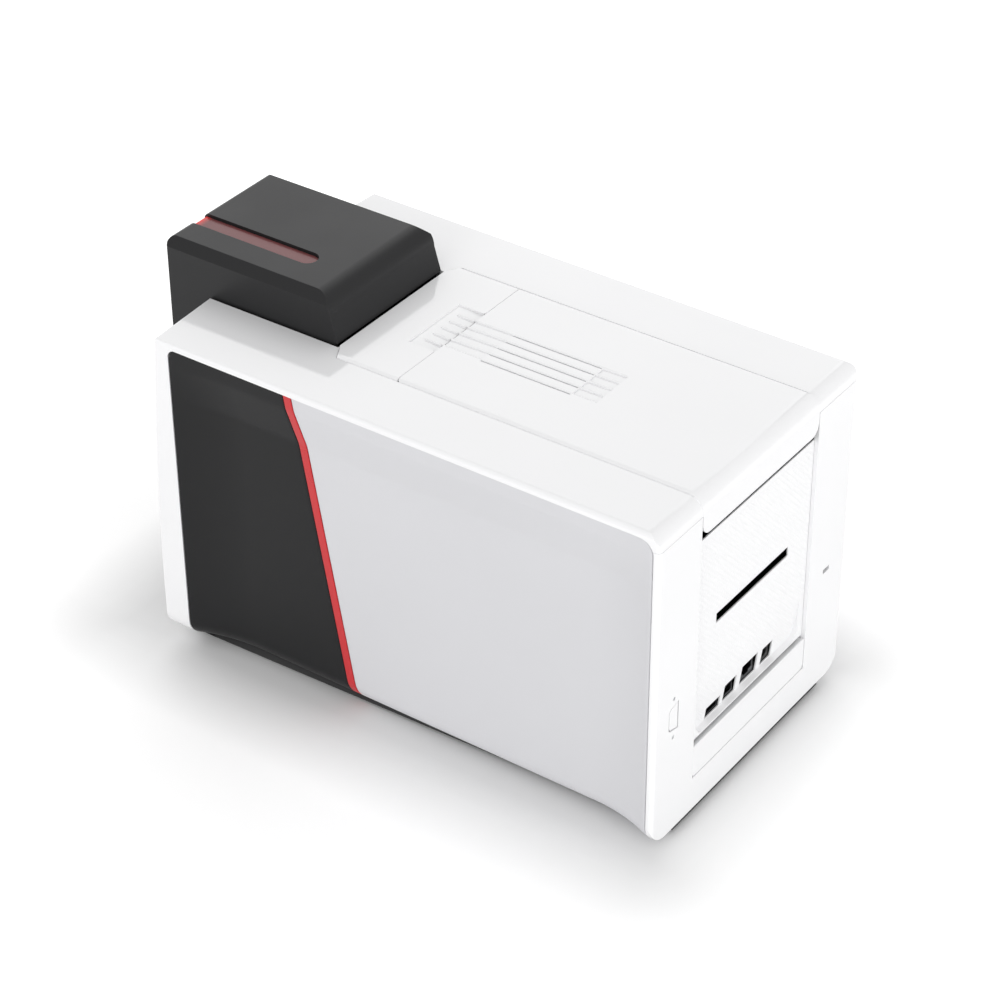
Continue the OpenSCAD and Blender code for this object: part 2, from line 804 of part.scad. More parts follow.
// Panel between two edges that depend on height, with columns at the shares us
module side_panel(edge0, edge1, us) {
  columns = function(st) let (z = st[0] - (roll_r * sin(st[1])), a = edge0(z), b = edge1(z))
    [for (u = us) a + u * (b - a)];
  outer = concat([for (st = stations) side_row(st, columns(st), 0)],
    [foot_row(columns([z_bot + roll_r, 90]), 0)]);
  inner = concat([for (st = stations) side_row(st, columns(st), panel_t)],
    [foot_row(columns([z_bot + roll_r, 90]), panel_t)]);
  skin(outer, inner);
}

module front_side() {
  span = stripe_y0(100) - panel_y0;
  us = concat([for (k = [0:8]) k / 8 * cove_front / span], [0.8, 1]);
  side_panel(function(z) field_y0(z), function(z) stripe_y0(z) - joint, us);
}

module stripe_side() {
  side_panel(function(z) stripe_y0(z), function(z) stripe_y1(z), [0, 1]);
}

module rear_side() {
  span = panel_y1 - stripe_y1(100);
  us = concat([0, 0.4], [for (k = [8:-1:0]) 1 - k / 8 * cove_rear / span]);
  side_panel(function(z) stripe_y1(z) + joint, function(z) field_y1(z), us);
}

module right_front_panel() color(black) front_side();
module right_stripe() color(red) stripe_side();
module right_rear_panel() color(grey) rear_side();
module left_front_panel() color(black) mirror([1, 0, 0]) front_side();
module left_stripe() color(red) mirror([1, 0, 0]) stripe_side();
module left_rear_panel() color(grey) mirror([1, 0, 0]) rear_side();

// ---------- lid ----------

module lid_profile(i) {
  rounded(lid_y + i, 0, rear_y - i, lid_z - i, [0, 0, lid_r - i, 0]);
}

module top_lid() color(white) {
  difference() {
    intersection() {
      along_x(-half_lid, half_lid) lid_profile(0);
      along_y(-big / 2, big / 2)
        rounded(-half_lid, skirt_z, half_lid, lid_z, [skirt_r, skirt_r, lid_edge_r, lid_edge_r]);
      union() {
        along_z(z_deck - 5, big) rounded(-half_lid, lid_y, half_lid, rear_y + 1,
          [lid_corner_r, lid_corner_r, 0, 0]);
        block(-big, big, rear_y - 7.2, big, 0, big);
      }
    }
    along_x(-half_lid + lid_t, half_lid - lid_t) lid_profile(lid_t);
    for (k = [0:rib_n - 1]) {
      x = (k - (rib_n - 1) / 2) * rib_pitch;
      block(x - slit_w / 2, x + slit_w / 2, lid_y + slit_start, lid_y + slit_start + slit_l,
        lid_z - lid_t - 1, lid_z + 1);
      along_z(lid_z - groove_d, lid_z + 1)
        rounded(x - groove_w / 2, lid_y + groove_start, x + groove_w / 2,
          lid_y + groove_start + groove_l, [1, 1, 1, 1]);
    }
  }
}

module lid_frame() color(black) {
  z0 = frame_z - 2.4;
  arm_y0 = platen_y - 8;
  arm_y1 = platen_y + 20;
  difference() {
    union() {
      block(-frame_x, frame_x, lid_y + 4, lid_axis_y - 3, z0, frame_z);
      both_sides() {
        block(knuckle_x1 - 5, knuckle_x1, lid_y + 6, lid_axis_y - 3, z0 - 8, z0 + eps);
        block(knuckle_x0, knuckle_x1, lid_axis_y - knuckle_r - 8, lid_axis_y,
          lid_axis_z, lid_axis_z + knuckle_r);
        rod_x(knuckle_x0, knuckle_x1, lid_axis_y, lid_axis_z, knuckle_r);
        block(30, 36, arm_y0, arm_y1, head_top, z0 + eps);
      }
      block(-36, 36, arm_y0, arm_y1, head_top, head_top + 8);
    }
    both_sides() rod_x(knuckle_x0 - 1, knuckle_x1 + 1, lid_axis_y, lid_axis_z, lid_pin_r + run);
    vent_x = rib_pitch * (rib_n - 1) / 2 + 3;
    block(-vent_x, vent_x, lid_y + slit_start - 2, lid_y + slit_start + slit_l + 2, z0 - 1, lid_z);
  }
}

module print_head() color("#6B6E70") {
  low = path_z + 1.2;
  along_x(-33, 33) polygon([
    [platen_y - 5, head_top], [platen_y - 5, low + 5], [platen_y - 1, low], [platen_y + 1.5, low],
    [platen_y + 16, low + 7], [platen_y + 16, head_top]
  ]);
}

module head_heatsink() color("#A9ABAD") {
  z0 = head_top + 8;
  block(-28, 28, platen_y - 5, platen_y + 17, z0, z0 + 3);
  for (k = [0:10]) {
    x = -27 + k * 5.2;
    block(x - 0.6, x + 0.6, platen_y - 5, platen_y + 17, z0 + 3 - eps, z0 + 18);
  }
}

module lid_hinge_pins() color("silver") {
  both_sides() rod_x(knuckle_x0 - 1.5, half_chassis + chassis_t + 2, lid_axis_y, lid_axis_z, lid_pin_r);
}

// ---------- feeder ----------

module feeder_plan(i) {
  rounded(-half_feeder + i, feeder_y0 + i, half_feeder - i, feeder_y1 - i,
    [3 - i / 2, 3 - i / 2, 0, 0]);
}

module feeder_base() color(black) {
  difference() {
    along_z(feeder_foot, base_z) feeder_plan(0);
    along_z(mag_floor, base_z + 1) feeder_plan(feeder_t);
    along_z(feeder_foot - 1, mag_floor - 3) feeder_plan(feeder_t);
    // window for the pick roller, and slot for the card in the rear wall
    block(-18, 18, pick_y - roller_r - 1, pick_y + roller_r + 1, feeder_foot - 1, mag_floor + 1);
    block(-guide_half, guide_half, feeder_y1 - feeder_t - 1, feeder_y1 + 1, mag_floor - 0.5, mag_floor + 3);
    rod_x(-half_feeder - 1, half_feeder + 1, pick_y, pick_z, shaft_r + 0.6);
  }
  // ears that carry the hinge pin
  both_sides() difference() {
    union() {
      block(ear_x0, ear_x1, hinge_y - 17, hinge_y - 5, mag_floor - eps, hinge_z + 2.6);
      block(ear_x0, ear_x1, hinge_y - 6, hinge_y, hinge_z - 2.6, hinge_z + 2.6);
      rod_x(ear_x0, ear_x1, hinge_y, hinge_z, 2.6);
    }
    rod_x(ear_x0 - 1, ear_x1 + 1, hinge_y, hinge_z, feeder_pin_r + run);
  }
}

module feeder_hinge_pin() color("silver") {
  rod_x(-ear_x1, ear_x1, hinge_y, hinge_z, feeder_pin_r);
}

// Side view of the feeder cover, i inside its outer surface
function cover_profile(i, roof) =
  let (top = feeder_z - roof, r = feeder_r - i, n = max(feeder_nose_r - i, 0.6),
       yr = feeder_y1 - feeder_draft - i)
  concat(
    [[feeder_y1 - i, lip_z]],
    arc(yr - r, top - r, r, 0, 90, 8),
    arc(feeder_y0 + i + n, top - n, n, 90, 180, 5)
  );

// Hollow cover, open below, before the groove is cut
module cover_shell() {
  side_y = feeder_y1 - 1.5;
  inner_x = half_feeder - feeder_t;
  difference() {
    intersection() {
      along_x(-half_feeder, half_feeder)
        polygon(concat(cover_profile(0, 0), [[feeder_y0, cover_z], [side_y, cover_z], [side_y, lip_z]]));
      along_z(cover_z - 1, feeder_z + 1)
        rounded(-half_feeder - 1, feeder_y0, half_feeder + 1, feeder_y1 + 1, [4, 4, 0, 0]);
      along_y(-big / 2, big / 2) polygon([
        [-half_feeder, cover_z], [half_feeder, cover_z], [half_feeder, feeder_z - feeder_chamfer],
        [half_feeder - feeder_chamfer, feeder_z], [-half_feeder + feeder_chamfer, feeder_z],
        [-half_feeder, feeder_z - feeder_chamfer]
      ]);
    }
    intersection() {
      along_x(-inner_x, inner_x)
        polygon(concat(cover_profile(feeder_t, roof_t),
          [[feeder_y0 + feeder_t, cover_z - 1], [side_y + 5, cover_z - 1], [side_y + 5, lip_z]]));
      along_y(-big / 2, big / 2) polygon([
        [-inner_x, 0], [inner_x, 0], [inner_x, feeder_z - feeder_chamfer - 2],
        [inner_x - feeder_chamfer, feeder_z - roof_t], [-inner_x + feeder_chamfer, feeder_z - roof_t],
        [-inner_x, feeder_z - feeder_chamfer - 2]
      ]);
    }
  }
}

module feeder_cover() color(black) {
  difference() {
    union() {
      cover_shell();
      // thicker wall behind the groove down the front
      block(strip_x - strip_w / 2 - 2, strip_x + strip_w / 2 + 2, feeder_y0 + feeder_t - eps,
        feeder_y0 + strip_d + 3.4, feeder_z - strip_down - 3, feeder_z - roof_t + eps);
    }
    light_path(strip_w, strip_l, strip_down, strip_d + light_t);
  }
  // knuckles on the rear wall
  both_sides() difference() {
    union() {
      rod_x(knuckle_in, ear_x0 - joint, hinge_y, hinge_z, 2.8);
      block(knuckle_in, ear_x0 - joint, hinge_y, feeder_y1 - feeder_t - 0.4, hinge_z - 2, hinge_z + 2.8);
    }
    rod_x(knuckle_in - 1, ear_x0, hinge_y, hinge_z, feeder_pin_r + run);
  }
}

// Groove of the light strip over the roof and down the front, drawn in plan and front view
module light_path(w, l, down, depth) {
  along_z(feeder_z - depth, feeder_z + 1) {
    translate([strip_x - w / 2, feeder_y0 - 1]) square([w, l - w / 2 + 1]);
    translate([strip_x, feeder_y0 + l - w / 2]) circle(w / 2);
  }
  along_y(feeder_y0 - 1, feeder_y0 + depth) {
    translate([strip_x - w / 2, feeder_z - down + w / 2]) square([w, down - w / 2 + 1]);
    translate([strip_x, feeder_z - down + w / 2]) circle(w / 2);
  }
}

module feeder_strip() color(red) {
  intersection() {
    light_path(strip_w - 0.2, strip_l - 0.1, strip_down - 0.1, strip_d + light_t);
    block(-big, big, feeder_y0 + strip_d, big, -big, feeder_z - strip_d);
  }
}

module card_magazine() color(black) {
  tab_y0 = press_y - 3;
  difference() {
    block(-mag_half - mag_t, mag_half + mag_t, mag_y0 - mag_t, mag_y1, mag_floor, mag_top);
    block(-mag_half, mag_half, mag_y0, mag_y1 - mag_t, mag_floor - 1, mag_top + 1);
    // thumb cut in the front wall, gate under the rear wall, guide slots in the sides
    block(-16, 16, mag_y0 - mag_t - 1, mag_y0 + 1, mag_floor + 40, mag_top + 1);
    block(-mag_half, mag_half, mag_y1 - mag_t - 1, mag_y1 + 1, mag_floor - 1, mag_floor + 1.2);
    block(-mag_half - mag_t - 1, mag_half + mag_t + 1, tab_y0 - 0.4, tab_y0 + 6.4,
      press_z - 0.5, press_z + press_travel + 6);
  }
  both_sides() for (y = [mag_y0 + 4, mag_y1 - 24]) {
    block(mag_half + mag_t - eps, half_feeder - feeder_t - 0.1, y, y + 2.5, mag_floor, mag_floor + 50);
  }
}

module press_plate() color("#5A5A5C") {
  tab_y0 = press_y - 3;
  block(-mag_half + 0.4, mag_half - 0.4, mag_y0 + 0.6, mag_y1 - mag_t - 0.6, press_z, press_z + 3);
  both_sides() block(mag_half - 1, mag_half + mag_t + 3, tab_y0, tab_y0 + 6, press_z, press_z + 4);
  difference() {
    block(-12, 12, press_y - 1.5, press_y + 1.5, press_z + 2.9, press_z + 24);
    rod_y(0, press_y - 2, press_y + 2, press_z + 16, 5);
  }
}

// ---------- output ----------

module hopper_frame() color(black) {
  half = half_bay - joint;
  difference() {
    block(-half, half, hopper_y0, hopper_y1, z_floor, feeder_foot);
    block(-tray_half - 0.7, tray_half + 0.7, -big, hopper_y1 - 2.6, hopper_floor, big);
    block(-half + 2.6, half - 2.6, -big, hopper_y1 - 2.6, z_floor - 1, hopper_floor - 3);
    block(-guide_half, guide_half, -big, big, exit_z, feeder_foot + 1);
    rod_x(-half - 1, half + 1, pick_y, pick_z, shaft_r + 0.6);
  }
}

module output_tray() color(black) {
  difference() {
    union() {
      along_z(tray_z, tray_z + lip_front_h)
        rounded(-tray_half, tray_y0, tray_half, tray_y1, [6, 6, 0, 0]);
      block(-tray_half, tray_half, tray_y0 + 30, tray_y1, tray_z, tray_z + tray_h);
      both_sides() along_x(tray_half - tray_t, tray_half) polygon([
        [tray_y0 + 8, tray_z + lip_front_h - 1], [tray_y0 + 31, tray_z + tray_h],
        [tray_y0 + 31, tray_z + 10], [tray_y0 + 8, tray_z + 10]
      ]);
    }
    along_z(tray_z + tray_t, big)
      rounded(-tray_half + tray_t, tray_y0 + tray_t, tray_half - tray_t, tray_y1 - tray_t, [4, 4, 0, 0]);
    rod_y(0, tray_y0 - 1, tray_y0 + tray_t + 3, tray_z + lip_front_h, thumb_r);
  }
}

// ---------- mechanism ----------

module chassis_plate() {
  x0 = half_chassis;
  difference() {
    union() {
      along_x(x0, x0 + chassis_t) difference() {
        rounded(chassis_y0, z_floor, chassis_y1, chassis_top, [0, 0, 12, 12]);
        rounded(motor_y + 50, z_floor + 60, exit_y - 20, roller_z - 14, [5, 5, 5, 5]);
      }
      block(x0, x0 + 10, chassis_y0, chassis_y1, z_floor, z_floor + chassis_t);
      along_x(x0, x0 + chassis_t)
        rounded(chassis_y1 - 30, lid_axis_z - 14, lid_axis_y + 5, lid_axis_z + 5, [0, 2, 4, 0]);
    }
    for (p = [[feed_y, roller_z], [platen_y, roller_z], [exit_y, roller_z]]) {
      rod_x(x0 - 1, x0 + chassis_t + 1, p[0], p[1], shaft_r + run);
    }
    rod_x(x0 - 1, x0 + chassis_t + 1, lid_axis_y, lid_axis_z, lid_pin_r + run);
    for (y = [takeup_y, supply_y]) {
      rod_x(x0 - 1, x0 + chassis_t + 1, y, spool_z, 4 + run);
    }
    rod_x(x0 - 1, x0 + chassis_t + 1, motor_y, motor_z, 2.5 + run);
  }
}

module right_chassis() color("#9A9C9E") chassis_plate();
module left_chassis() color("#9A9C9E") mirror([1, 0, 0]) chassis_plate();

module cross_bars() color("#B4B6B8") {
  for (p = [[chassis_y0 + 6, chassis_top - 8], [chassis_y0 + 6, 60], [chassis_y1 - 8, 150], [chassis_y1 - 50, 24]]) {
    rod_x(-half_chassis, half_chassis, p[0], p[1], 4);
  }
}

module card_guide() color("#3A3B3D") {
  z1 = path_z - 1;
  z0 = z1 - 3;
  difference() {
    union() {
      block(-guide_half, guide_half, chassis_y0 + 1, rear_y - 10, z0, z1);
      both_sides() block(mag_half, guide_half, chassis_y0 + 1, rear_y - 10, z0, path_z + 3);
      for (y = [chassis_y0 + 2, platen_y + 38, chassis_y1 - 12]) {
        block(-half_chassis, half_chassis, y, y + 8, z0, z1);
      }
    }
    for (y = [feed_y, platen_y, exit_y]) {
      block(-mag_half - 3, mag_half + 3, y - roller_r - 0.5, y + roller_r + 0.5, z0 - 1, path_z + 4);
    }
  }
  both_sides() for (y = [feed_y, platen_y, exit_y]) {
    block(guide_half + 1.2, guide_half + 4, y - roller_r - 3, y + roller_r + 3, z0, z1);
    for (s = [-1, 1]) {
      block(guide_half - 1, guide_half + 4, y + s * (roller_r + 2) - 1.4, y + s * (roller_r + 2) + 1.4, z0, z1);
    }
  }
}

module main_board() color("#1E6B3A") {
  block(-52, 52, board_y0, board_y1, board_z, board_z + board_t);
  block(-36, -14, board_y0 + 24, board_y0 + 46, board_z + board_t - eps, board_z + board_t + 2.2);
  block(8, 24, board_y0 + 18, board_y0 + 34, board_z + board_t - eps, board_z + board_t + 1.8);
  for (k = [0:3]) {
    translate([-40 + k * 12, board_y0 + 10, board_z + board_t - eps]) cylinder(h = 11, r = 4);
  }
}

module board_posts() color("silver") {
  for (x = [-47, 47], y = [board_y0 + 5, board_y1 - 26]) {
    translate([x, y, z_floor]) cylinder(h = board_z - z_floor, r = 3.2);
  }
}

module drive_motor() color("#4A4C4E") {
  x1 = -half_chassis;
  difference() {
    block(x1, x1 + motor_l, motor_y - motor_w / 2, motor_y + motor_w / 2,
      motor_z - motor_w / 2, motor_z + motor_w / 2);
    for (a = [-1, 1], b = [-1, 1]) {
      translate([0, motor_y + a * motor_w / 2, motor_z + b * motor_w / 2]) rotate([45, 0, 0])
        block(x1 - 1, x1 + motor_l + 1, -3, 3, -3, 3);
    }
    rod_x(x1 - 1, x1 + 8, motor_y, motor_z, 2.5 + run);
  }
}

module motor_pulley() color("silver") {
  rod_x(-pulley_x - pulley_w - 3, -half_chassis + 7, motor_y, motor_z, 2.5);
  rod_x(-pulley_x - pulley_w, -pulley_x, motor_y, motor_z, motor_pulley_r);
}

module belt_outline(g) {
  hull() {
    for (p = rollers) {
      translate(p) circle(pulley_r + joint + g, $fn = 48);
    }
    translate([motor_y, motor_z]) circle(motor_pulley_r + joint + g, $fn = 48);
  }
}

module drive_belt() color(black) {
  along_x(-pulley_x - pulley_w + 0.5, -pulley_x - 0.5) difference() {
    belt_outline(belt_t);
    belt_outline(0);
  }
}

// Roller shaft with its pulley on the left end
module shaft(p, x1) {
  rod_x(-pulley_x - pulley_w - 1, x1, p[0], p[1], shaft_r);
  rod_x(-pulley_x - pulley_w, -pulley_x, p[0], p[1], pulley_r);
}

module tyre(p, l) {
  difference() {
    rod_x(-l / 2, l / 2, p[0], p[1], roller_r);
    rod_x(-l / 2 - 1, l / 2 + 1, p[0], p[1], shaft_r + 0.02);
  }
}

module pick_shaft() color("silver") shaft(rollers[0], half_bay + wall + 2);
module feed_shaft() color("silver") shaft(rollers[1], half_chassis + chassis_t + 2);
module platen_shaft() color("silver") shaft(rollers[2], half_chassis + chassis_t + 2);
module exit_shaft() color("silver") shaft(rollers[3], half_chassis + chassis_t + 2);
module pick_tyre() color("#4C4A48") tyre(rollers[0], 34);
module feed_tyre() color("#4C4A48") tyre(rollers[1], roller_l);
module platen_tyre() color("#4C4A48") tyre(rollers[2], roller_l);
module exit_tyre() color("#4C4A48") tyre(rollers[3], roller_l);

// Driven spindle on the left plate
module spindle(y) {
  x1 = -half_chassis;
  difference() {
    union() {
      rod_x(x1 + 1, x1 + 4, y, spool_z, hub_r + 4);
      rod_x(x1 + 3.9, x1 + 12, y, spool_z, hub_r);
      rod_x(x1 - chassis_t - 2, x1 + 1.1, y, spool_z, 4);
    }
    for (a = [0:90:270]) {
      translate([x1 + 8, y, spool_z]) rotate([a, 0, 0]) block(0, 5, -1.2, 1.2, hub_r - 2.4, hub_r + 1);
    }
  }
}

module takeup_hub() color("#E8E8E8") spindle(takeup_y);
module supply_hub() color("#E8E8E8") spindle(supply_y);

module spool_pegs() color("#E8E8E8") {
  for (y = [takeup_y, supply_y]) {
    rod_x(half_chassis - 4, half_chassis, y, spool_z, hub_r + 4);
    rod_x(half_chassis - 12, half_chassis - 3.9, y, spool_z, hub_r - 1);
    rod_x(half_chassis - 1, half_chassis + chassis_t + 1, y, spool_z, 4);
  }
}

// ---------- controls ----------

function lamp_z(k) = button_z - 15 - 7 * k;

// Front face of the wing at the controls
function control_y(z) = face_y(z, 0) - (half_w - control_x) * tan(sweep);

module control_button() color("#BFC1C3") {
  y = control_y(button_z);
  rod_y(control_x, y - 1.4, y + 10, button_z, button_r);
  rod_y(control_x, y + wall + 1.3, y + wall + 2.8, button_z, button_r + 1.6);
}

module indicator_lamps() color("#9CC8A0") {
  for (k = [0, 1]) {
    y = control_y(lamp_z(k));
    rod_y(control_x, y - 0.2, switch_y, lamp_z(k), lamp_r);
  }
}

module switch_board() color("#1E6B3A") {
  block(half_bay + wall, control_x + 12, switch_y, switch_y + 1.6, button_z - 28, button_z + 10);
  block(control_x - 3, control_x + 3, switch_y - 2, switch_y + eps, button_z - 3, button_z + 3);
}

// ---------- parts ----------

base_tray();
rubber_feet();
deck_shell();
front_strip();
rear_frame();
rear_panel();
lower_rear_panel();
usb_host_socket();
usb_device_socket();
network_socket();
power_socket();
serial_cover();
serial_screws();
right_front_panel();
right_stripe();
right_rear_panel();
left_front_panel();
left_stripe();
left_rear_panel();
feeder_base();
card_magazine();
feeder_hinge_pin();
hopper_frame();
left_chassis();
right_chassis();
cross_bars();
card_guide();
main_board();
board_posts();
drive_motor();
drive_belt();
spool_pegs();
lid_hinge_pins();
indicator_lamps();
switch_board();
top_lid();
lid_frame();
print_head();
head_heatsink();
feeder_cover();
feeder_strip();
press_plate();
output_tray();
control_button();
pick_shaft();
pick_tyre();
feed_shaft();
feed_tyre();
platen_shaft();
platen_tyre();
exit_shaft();
exit_tyre();
motor_pulley();
takeup_hub();
supply_hub();
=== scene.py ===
import json
import logging
import math
from abc import ABC, abstractmethod
from dataclasses import dataclass, field, fields
from enum import Enum
from typing import Any, Callable, ClassVar, Mapping, MutableMapping, Sequence

import bmesh
import bpy
from mathutils import Matrix, Vector

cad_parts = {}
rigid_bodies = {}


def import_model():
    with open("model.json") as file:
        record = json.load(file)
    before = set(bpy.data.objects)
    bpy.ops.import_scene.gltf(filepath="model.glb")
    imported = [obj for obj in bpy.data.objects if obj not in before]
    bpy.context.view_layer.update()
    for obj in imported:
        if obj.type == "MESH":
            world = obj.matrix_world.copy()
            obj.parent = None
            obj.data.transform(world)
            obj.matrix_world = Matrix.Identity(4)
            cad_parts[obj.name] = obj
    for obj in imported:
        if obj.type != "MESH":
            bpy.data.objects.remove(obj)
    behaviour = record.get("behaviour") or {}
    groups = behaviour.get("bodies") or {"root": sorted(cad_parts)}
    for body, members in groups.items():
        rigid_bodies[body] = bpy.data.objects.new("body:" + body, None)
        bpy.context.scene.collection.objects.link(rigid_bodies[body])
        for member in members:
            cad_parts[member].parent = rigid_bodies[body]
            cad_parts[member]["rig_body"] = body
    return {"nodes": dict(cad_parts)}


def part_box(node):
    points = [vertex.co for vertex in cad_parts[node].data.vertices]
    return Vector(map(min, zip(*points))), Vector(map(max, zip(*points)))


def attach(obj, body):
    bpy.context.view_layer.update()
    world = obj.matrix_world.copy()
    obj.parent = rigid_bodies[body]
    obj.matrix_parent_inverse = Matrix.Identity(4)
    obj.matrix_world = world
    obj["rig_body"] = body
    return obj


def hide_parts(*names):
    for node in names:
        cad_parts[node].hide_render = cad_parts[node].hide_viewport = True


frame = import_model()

logging.basicConfig(level=logging.INFO, format="%(name)s: %(message)s")
log = logging.getLogger("card_printer")

MM = 0.001
# A point this near a face, in mm, lies on it
ON_FACE = 0.01
# Points this near each other, in metres, are one; faces that turn by less, in degrees, are one face
SAME_POINT = 2e-6
SAME_FACE = 0.5
# An edge that turns by more than this, in degrees, is broken
SHARP = 32.0
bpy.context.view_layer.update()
Point = tuple[float, float, float]


# ---------- small helpers ----------


def linear(colour: str) -> tuple[float, float, float, float]:
    """Turn an sRGB hex colour into the linear values that shaders take.

    Args:
        colour: The colour as "#RRGGBB".

    Returns:
        Red, green, blue and alpha, linear.
    """
    parts = [int(colour[k:k + 2], 16) / 255 for k in (1, 3, 5)]
    r, g, b = [c / 12.92 if c <= 0.04045 else ((c + 0.055) / 1.055) ** 2.4 for c in parts]
    return r, g, b, 1.0


def feed(tree: bpy.types.NodeTree, node: bpy.types.Node, inputs: Mapping[Any, Any]) -> None:
    """Set or link the inputs of a node.

    Args:
        tree: The shader or geometry tree.
        node: The node.
        inputs: Input name or index to a value, or to the socket that feeds it.
    """
    for key, value in inputs.items():
        if isinstance(value, bpy.types.NodeSocket):
            tree.links.new(value, node.inputs[key])
        else:
            node.inputs[key].default_value = value


def add_node(tree: bpy.types.NodeTree, kind: str, inputs: Mapping[Any, Any] | None = None,
             **settings: Any) -> bpy.types.Node:
    """Add a node to a tree, set it up and link it.

    Args:
        tree: The shader or geometry tree.
        kind: The node's type name.
        inputs: Input name or index to a value, or to the socket that feeds it.
        **settings: Properties of the node itself.

    Returns:
        The new node.
    """
    node = tree.nodes.new(kind)
    for key, value in settings.items():
        setattr(node, key, value)
    feed(tree, node, inputs or {})
    return node


def new_material(name: str) -> tuple[bpy.types.Material, bpy.types.NodeTree, bpy.types.Node]:
    """Make a material that holds only a Principled shader and its output.

    Args:
        name: The material's name.

    Returns:
        The material, its tree and the shader node.
    """
    material = bpy.data.materials.new(name)
    material.use_nodes = True
    tree = material.node_tree
    tree.nodes.clear()
    shader = add_node(tree, "ShaderNodeBsdfPrincipled")
    add_node(tree, "ShaderNodeOutputMaterial", {"Surface": shader.outputs[0]})
    return material, tree, shader


# ---------- finishes ----------


# Most values of a noise texture lie between these two
NOISE_SPAN = (0.3, 0.7)


def noise(tree: bpy.types.NodeTree, place: bpy.types.NodeSocket, size_mm: float, detail: float = 3.0,
          rough: float = 0.5) -> bpy.types.NodeSocket:
    """Add a noise texture.

    Args:
        tree: The shader tree.
        place: The socket that gives the place on the piece.
        size_mm: Size of its coarsest cells.
        detail: How many finer layers it has.
        rough: How strong the finer layers are.

    Returns:
        The socket of its value.
    """
    return add_node(tree, "ShaderNodeTexNoise", {
        "Vector": place, "Scale": 1 / (size_mm * MM), "Detail": detail, "Roughness": rough}).outputs[0]


def spread(tree: bpy.types.NodeTree, value: bpy.types.NodeSocket, low: float, high: float,
           span: tuple[float, float] = NOISE_SPAN) -> bpy.types.NodeSocket:
    """Spread a value that lies in one span over another.

    Args:
        tree: The shader tree.
        value: The socket of the value.
        low: What comes out at the start of the span.
        high: What comes out at its end.
        span: Where the value lies.

    Returns:
        The socket of the spread value.
    """
    return add_node(tree, "ShaderNodeMapRange", {
        "Value": value, "From Min": span[0], "From Max": span[1], "To Min": low,
        "To Max": high}).outputs[0]


@dataclass(frozen=True)
class Finish(ABC):
    """What a piece is made of. Its material is built once and shared."""

    name: str
    colour: str
    roughness: float

    @abstractmethod
    def looks(self, tree: bpy.types.NodeTree, place: bpy.types.NodeSocket) -> dict[str, Any]:
        """Add this finish's maps to a material's tree.

        Args:
            tree: The tree.
            place: The socket that gives the place on the piece.

        Returns:
            Input name of the shader to its value, or to the socket that feeds it.
        """

    def material(self) -> bpy.types.Material:
        """Build the material once and hand out the same one afterwards.

        Returns:
            The material.
        """
        known = bpy.data.materials.get(self.name)
        if known:
            return known
        material, tree, shader = new_material(self.name)
        place = add_node(tree, "ShaderNodeTexCoord").outputs["Object"]
        feed(tree, shader, self.looks(tree, place))
        return material


@dataclass(frozen=True)
class MouldedPlastic(Finish):
    """Injection-moulded plastic: a base colour, a gloss and the grain of the mould."""

    grain_mm: float
    grain_height_mm: float
    ior: float = 1.5
    sheen_level: float = 0.5
    uneven: float = 0.04
    cloudy: float = 0.03
    flow_mm: float = 60.0

    def looks(self, tree: bpy.types.NodeTree, place: bpy.types.NodeSocket) -> dict[str, Any]:
        """Add the grain of the mould and the flow of the melt.

        Args:
            tree: The tree.
            place: The socket that gives the place on the piece.

        Returns:
            The shader's inputs.
        """
        grain = noise(tree, place, self.grain_mm, detail=2.0, rough=0.6)
        relief = add_node(tree, "ShaderNodeBump", {
            "Height": grain, "Strength": 1.0, "Distance": self.grain_height_mm * MM})
        # the melt leaves slow changes of gloss and tone over some centimetres
        flow = noise(tree, place, self.flow_mm)
        base = linear(self.colour)
        shade = tuple(c * (1 - self.cloudy) for c in base[:3]) + (1.0,)
        tone = add_node(tree, "ShaderNodeMix", {0: flow, 6: shade, 7: base}, data_type="RGBA")
        return {
            "Base Color": tone.outputs[2],
            "Roughness": spread(tree, flow, self.roughness - self.uneven, self.roughness + self.uneven),
            "Normal": relief.outputs[0],
            "IOR": self.ior,
            "Specular IOR Level": self.sheen_level,
        }


@dataclass(frozen=True)
class Metal(Finish):
    """Bare or plated metal, with the fine lines or grain of how it was worked."""

    line_mm: float
    stretch: float = 12.0
    uneven: float = 0.1

    def looks(self, tree: bpy.types.NodeTree, place: bpy.types.NodeSocket) -> dict[str, Any]:
        """Add the lines, stretched along X.

        Args:
            tree: The tree.
            place: The socket that gives the place on the piece.

        Returns:
            The shader's inputs.
        """
        drawn = add_node(tree, "ShaderNodeMapping", {
            "Vector": place, "Scale": (1 / self.stretch, 1.0, 1.0)})
        lines = noise(tree, drawn.outputs[0], self.line_mm)
        return {
            "Base Color": linear(self.colour),
            "Metallic": 1.0,
            "Roughness": spread(tree, lines, self.roughness - self.uneven, self.roughness + self.uneven),
        }


